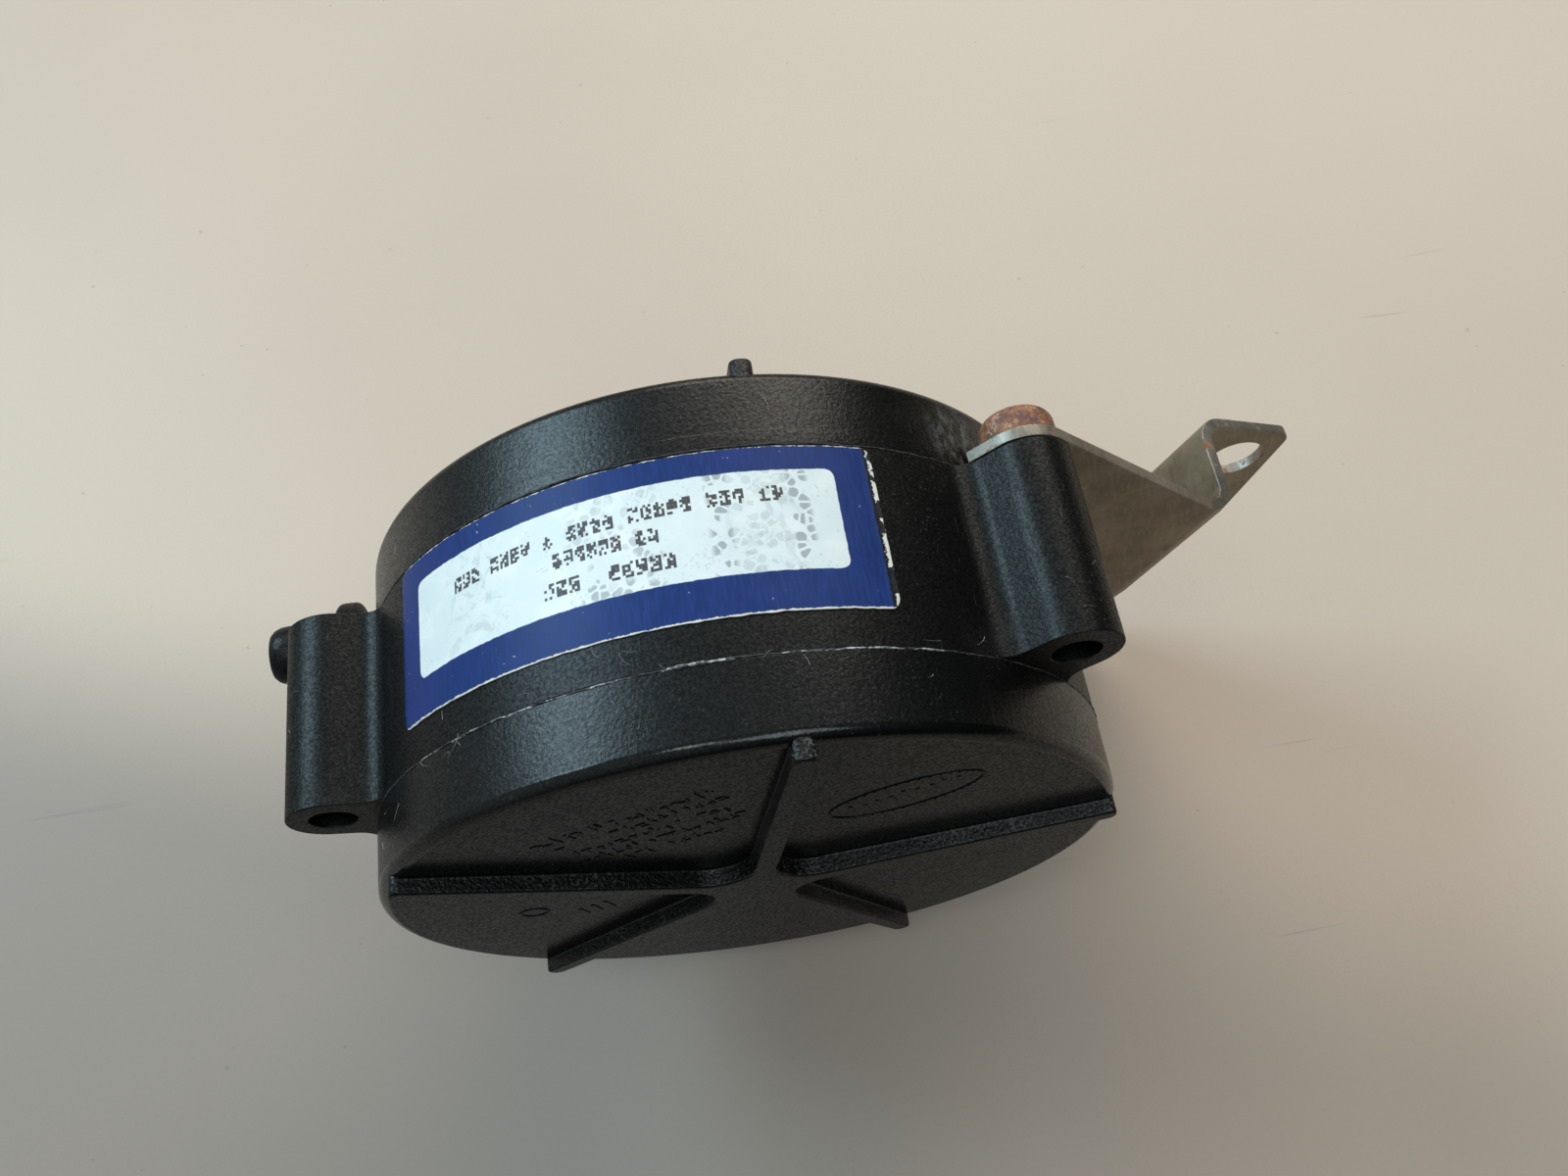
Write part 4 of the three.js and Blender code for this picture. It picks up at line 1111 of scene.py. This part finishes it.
def bracket_outline():
    tab = BOSS_HALF - 0.1
    upper_angle, lower_angle = (BOSSES[k] - BRACKET_ANGLE for k in (0, 2))
    upper, lower = polar(BOSS_REACH, upper_angle), polar(BOSS_REACH, lower_angle)
    inner = RADIUS + 1
    # Where the tabs' straight sides meet the circle that clears the rear cover.
    half_tab = math.degrees(math.asin(tab / inner))
    upper_meet, lower_meet = upper_angle + half_tab, lower_angle - half_tab - 360
    shoulder = Vector((FOLD, BRACKET_TOP))
    heel = Vector((FOLD, BRACKET_FOOT))
    wide = FLANGE_END + 2
    corner = 2.0
    end = FLANGE_END - 1.2
    points = arc((0, 0), inner, upper_meet, lower_meet, 60)
    points += arc(lower, tab, lower_angle - 450, tangent_angle(lower, tab, heel, -1), 14)
    points.append(heel)
    points += arc((flat_x(FLANGE_END - corner), BRACKET_FOOT + corner), corner, -90, 0, 6)
    points.append(Vector((flat_x(wide), BRACKET_FOOT + 16)))
    points.append(Vector((flat_x(wide), BRACKET_TOP - 20)))
    points += arc((flat_x(end - corner), BRACKET_TOP - corner), corner, 9, 90, 6)
    points.append(shoulder)
    points += arc(upper, tab, tangent_angle(upper, tab, shoulder, 1), upper_angle + 90, 14)
    cleaned = [points[0]]
    for p in points[1:]:
        if (p - cleaned[-1]).length > 0.02:
            cleaned.append(p)
    return cleaned, upper, lower


bracket_points, upper_tab, lower_tab = bracket_outline()
bracket_loops = [
    bracket_points,
    circle(upper_tab, BOSS_HOLE, 40),
    circle(lower_tab, BOSS_HOLE, 40),
    circle((flat_x(FLANGE_REACH), BRACKET_TOP - FLANGE_INSET), FLANGE_HOLE, 48),
    circle((flat_x(FLANGE_REACH), BRACKET_FOOT + FLANGE_INSET), FLANGE_HOLE, 48),
]
sheet_bm = slab(bracket_loops, 0, SHEET, 0.16, 2, cap_material=0, side_material=1)
stations = [FOLD + FIRST_ARC * i / 10 for i in range(11)]
stations += [SECOND_START + FIRST_ARC * i / 10 for i in range(11)]
slice_at(sheet_bm, stations)
bracket_turn = rotation(BRACKET_ANGLE)
for vertex in sheet_bm.verts:
    x, y, z = vertex.co
    vertex.co = bracket_turn @ bend_sheet(x, y, z)
bracket = finish_piece(
    "bracket_sheet", sheet_bm, [zinc_face, zinc_edge], sharp=40)
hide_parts("bracket")

# ---- screws


def make_screw(name, angle, node):
    seat = TAB_FRONT - SHEET - 0.02
    top = seat - HEAD_HEIGHT
    crown = 1.5
    profile = (
        [(0, top), (1.6, top), (HEAD_RADIUS - crown - 0.4, top + 0.02)]
        + rounded(HEAD_RADIUS - crown, top + crown, crown, -84, 0, 8)
        + [(HEAD_RADIUS, seat - 0.7), (HEAD_RADIUS - 0.05, seat - 0.25),
           (HEAD_RADIUS - 0.25, seat), (SHANK, seat)]
    )
    z = seat
    while z < seat + SCREW_LENGTH - 2.6:
        profile += [(SHANK, z + 0.1), (SHANK - 0.32, z + 0.45), (SHANK, z + 0.8)]
        z += 0.9
    profile += [(1.2, seat + SCREW_LENGTH), (0, seat + SCREW_LENGTH)]
    centre = polar(BOSS_REACH, angle)
    place = Matrix.Translation((centre.x, centre.y, 0))
    bm = turned(profile, 72, place=place)
    for vertex in bm.verts:
        if vertex.co.z < seat:
            bumpy = noise.fractal(vertex.co * 1.3, 0.7, 2.0, 4)
            away = vertex.co - Vector((centre.x, centre.y, seat + 1))
            vertex.co += away.normalized() * 0.05 * bumpy
    screw = finish_piece(name, bm, [head_rust, screw_shank])
    for polygon in screw.data.polygons:
        if polygon.center.z / MM > seat + 0.1:
            polygon.material_index = 1
    for turn in (15, 105):
        cross = bmesh.new()
        spin = place @ rotation(turn)
        block(cross, -2.2, 2.2, -0.48, 0.48, top - 1, top + 1.7, spin)
        cut(screw, cross)
    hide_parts(node)


make_screw("upper_screw", BOSSES[0], "bracket_screw_upper")
make_screw("lower_screw", BOSSES[2], "bracket_screw_lower")

# ---- diaphragm and bias spring


def diaphragm_section():
    """Half of the diaphragm's section: centre, rolling fold and bead."""
    half, fold, middle = 0.3, 3.0, 35.2
    under = rounded(middle, half, fold - half, 180, 0, 14)
    over = rounded(middle, half, fold + half, 0, 180, 14)
    return (
        [(2, -half), (middle - fold + half, -half)] + under + [(middle + fold - half, -half)]
        + [(40.5, -half), (40.5, -0.9), (42.5, -0.9), (42.5, 0.9), (40.5, 0.9), (40.5, half)]
        + over + [(2, half)]
    )


def sector(section, start, end, steps):
    """A closed slice of a turned body."""
    bm = bmesh.new()
    rings = []
    for i in range(steps + 1):
        angle = start + (end - start) * i / steps
        rings.append([bm.verts.new((*polar(radius, angle), z)) for radius, z in section])
    join_rings(bm, rings)
    flat = [Vector((r, z, 0)) for r, z in section]
    for ring in (rings[0], rings[-1]):
        for triangle in tessellate_polygon([flat]):
            bm.faces.new([ring[i] for i in triangle])
    return bm


def coil(start, end, z_start, z_end, turns=6, radius=3.2, wire=0.3):
    """Part of the spring, from one share of its length to another."""
    bm = bmesh.new()
    steps = int((end - start) * turns * 28)
    rings = []
    for i in range(steps + 1):
        t = start + (end - start) * i / steps
        angle = 360 * turns * t
        p = polar(radius, angle)
        out = Vector((p.x, p.y, 0)).normalized()
        centre = Vector((p.x, p.y, z_start + (z_end - z_start) * t))
        rings.append([
            bm.verts.new(centre + (out * math.cos(a) + Vector((0, 0, 1)) * math.sin(a)) * wire)
            for a in (2 * math.pi * k / 10 for k in range(10))
        ])
    join_rings(bm, rings)
    bm.faces.new(rings[0])
    bm.faces.new(rings[-1][::-1])
    return bm


silicone = soft_polymer("silicone_rubber", (0.30, 0.055, 0.030), (0.46, 0.10, 0.055))
steel_wire = worked_metal("spring_wire", (0.40, 0.41, 0.42), (0.62, 0.63, 0.64), 0.30)

# The middle of the diaphragm moves with its plate and the bead stays in the joint. It is built
# here as twelve sectors.
for k in range(12):
    slice_bm = sector(diaphragm_section(), 30 * k, 30 * k + 30, 8)
    piece = finish_piece(f"diaphragm_sector_{k + 1}", slice_bm, [silicone], body=None,
                         weighted=False)
    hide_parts("diaphragm")
    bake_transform(piece)

SPRING_REAR, SPRING_FRONT = -23.2, -16.0
SPRING_MIDDLE = (SPRING_REAR + SPRING_FRONT) / 2
for name, share, bodies, ends in (
    ("bias_spring_front", (0.5, 1.0), ("actuator", "housing"), (SPRING_FRONT, SPRING_MIDDLE)),
    ("bias_spring_rear", (0.0, 0.5), ("housing", "spring_rest"), (SPRING_MIDDLE, SPRING_REAR)),
):
    piece = finish_piece(name, coil(*share, SPRING_REAR, SPRING_FRONT), [steel_wire], body=None,
                         weighted=False)
    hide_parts("bias_spring")
    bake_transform(piece)

# ---- inner pieces keep their CAD shape

brass = worked_metal("tarnished_brass", (0.52, 0.36, 0.13), (0.70, 0.52, 0.24))
bronze = worked_metal("bronze_strip", (0.50, 0.28, 0.11), (0.68, 0.44, 0.22), 0.30)
silver = worked_metal("contact_silver", (0.62, 0.62, 0.62), (0.82, 0.82, 0.82), 0.28)
aluminium = worked_metal("blanked_aluminium", (0.58, 0.59, 0.60), (0.76, 0.77, 0.78), 0.38)
porous = worked_metal("sintered_bronze", (0.22, 0.15, 0.07), (0.42, 0.31, 0.16), 0.75, 0.5)
natural = soft_polymer("natural_acetal", (0.62, 0.58, 0.48), (0.78, 0.75, 0.66), 0.45)

SHEET_PIECES = (
    ("moving_blade", bronze), ("fixed_blade", bronze), ("common_terminal", brass),
    ("normally_open_terminal", brass),
)
TURNED_PIECES = (
    ("diaphragm_plate", aluminium), ("diaphragm_retainer", aluminium), ("actuator_pin", natural),
    ("moving_contact", silver), ("fixed_contact", silver), ("blade_rivet", brass),
    ("fixed_blade_rivet", brass), ("spring_seat", brass), ("calibration_screw", brass),
    ("port_restrictor", brass), ("vent_filter", porous),
)
for node, finish in SHEET_PIECES + TURNED_PIECES:
    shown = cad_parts[node]
    shown.data.materials.clear()
    shown.data.materials.append(finish)
    edges = shown.modifiers.new("softened_edges", "BEVEL")
    edges.width = 0.00008
    edges.segments = 2
    edges.limit_method = "ANGLE"
    edges.angle_limit = math.radians(30 if (node, finish) in SHEET_PIECES else 40)

# ---- floor, light and camera

floor_bm = bmesh.new()
reach = 3.0
corners = ((-reach, -reach), (reach, -reach), (reach, reach), (-reach, reach))
floor_bm.faces.new([floor_bm.verts.new((x, y, 0)) for x, y in corners])
floor = add_object("table_top", mesh_from(floor_bm, "table_top"))
floor.data.materials.append(table_top())


def area_light(name, place, target, size, power, colour):
    data = bpy.data.lights.new(name, "AREA")
    data.shape = "RECTANGLE"
    data.size, data.size_y = size
    data.energy = power
    data.color = colour
    lamp = add_object(name, data)
    lamp.location = place
    aim = Vector(target) - Vector(place)
    lamp.rotation_euler = aim.to_track_quat("-Z", "Y").to_euler()


area_light("window", (-0.72, 0.54, 0.80), (0, 0, 0.05), (0.6, 0.45), 6.6, (0.60, 0.86, 1.0))
area_light("lamp_behind", (0.58, 1.50, 1.20), (0, 0, 0), (1.5, 0.9), 19, (1.0, 0.915, 0.80))
area_light("ceiling", (0.46, -0.5, 1.46), (0, 0, 0), (0.9, 0.6), 4.6, (0.86, 0.97, 1.0))
area_light("ceiling_left", (-0.20, -0.22, 1.38), (0, 0, 0), (0.35, 0.25), 1.3, (0.93, 0.97, 1.0))

scene = bpy.context.scene
world = bpy.data.worlds.new("dim_room")
scene.world = world
world.use_nodes = True
sky = world.node_tree
direction = sky.nodes.new("ShaderNodeTexCoord").outputs["Generated"]
facing = sky.nodes.new("ShaderNodeVectorMath")
facing.operation = "DOT_PRODUCT"
facing.inputs[1].default_value = (-0.45, 0.15, 0.87)
sky.links.new(direction, facing.inputs[0])
ramp = sky.nodes.new("ShaderNodeMapRange")
ramp.interpolation_type = "SMOOTHSTEP"
for socket, value in ((1, -0.20), (2, 1.0), (3, 0.03), (4, 0.46)):
    ramp.inputs[socket].default_value = value
sky.links.new(facing.outputs["Value"], ramp.inputs[0])
background = sky.nodes["Background"]
background.inputs["Color"].default_value = (0.80, 0.95, 1.0, 1)
sky.links.new(ramp.outputs[0], background.inputs["Strength"])

camera_data = bpy.data.cameras.new("photo_camera")
camera_data.sensor_width = 36
camera_data.lens = 30.1
camera_data.clip_start = 0.005
camera = add_object("photo_camera", camera_data)
camera.location = Vector((0.84, -64.5, 213.7)) * MM
camera.rotation_euler = [math.radians(a) for a in (25.93, 5.37, -8.66)]
scene.camera = camera
scene.view_settings.view_transform = "Standard"
scene.view_settings.look = "None"
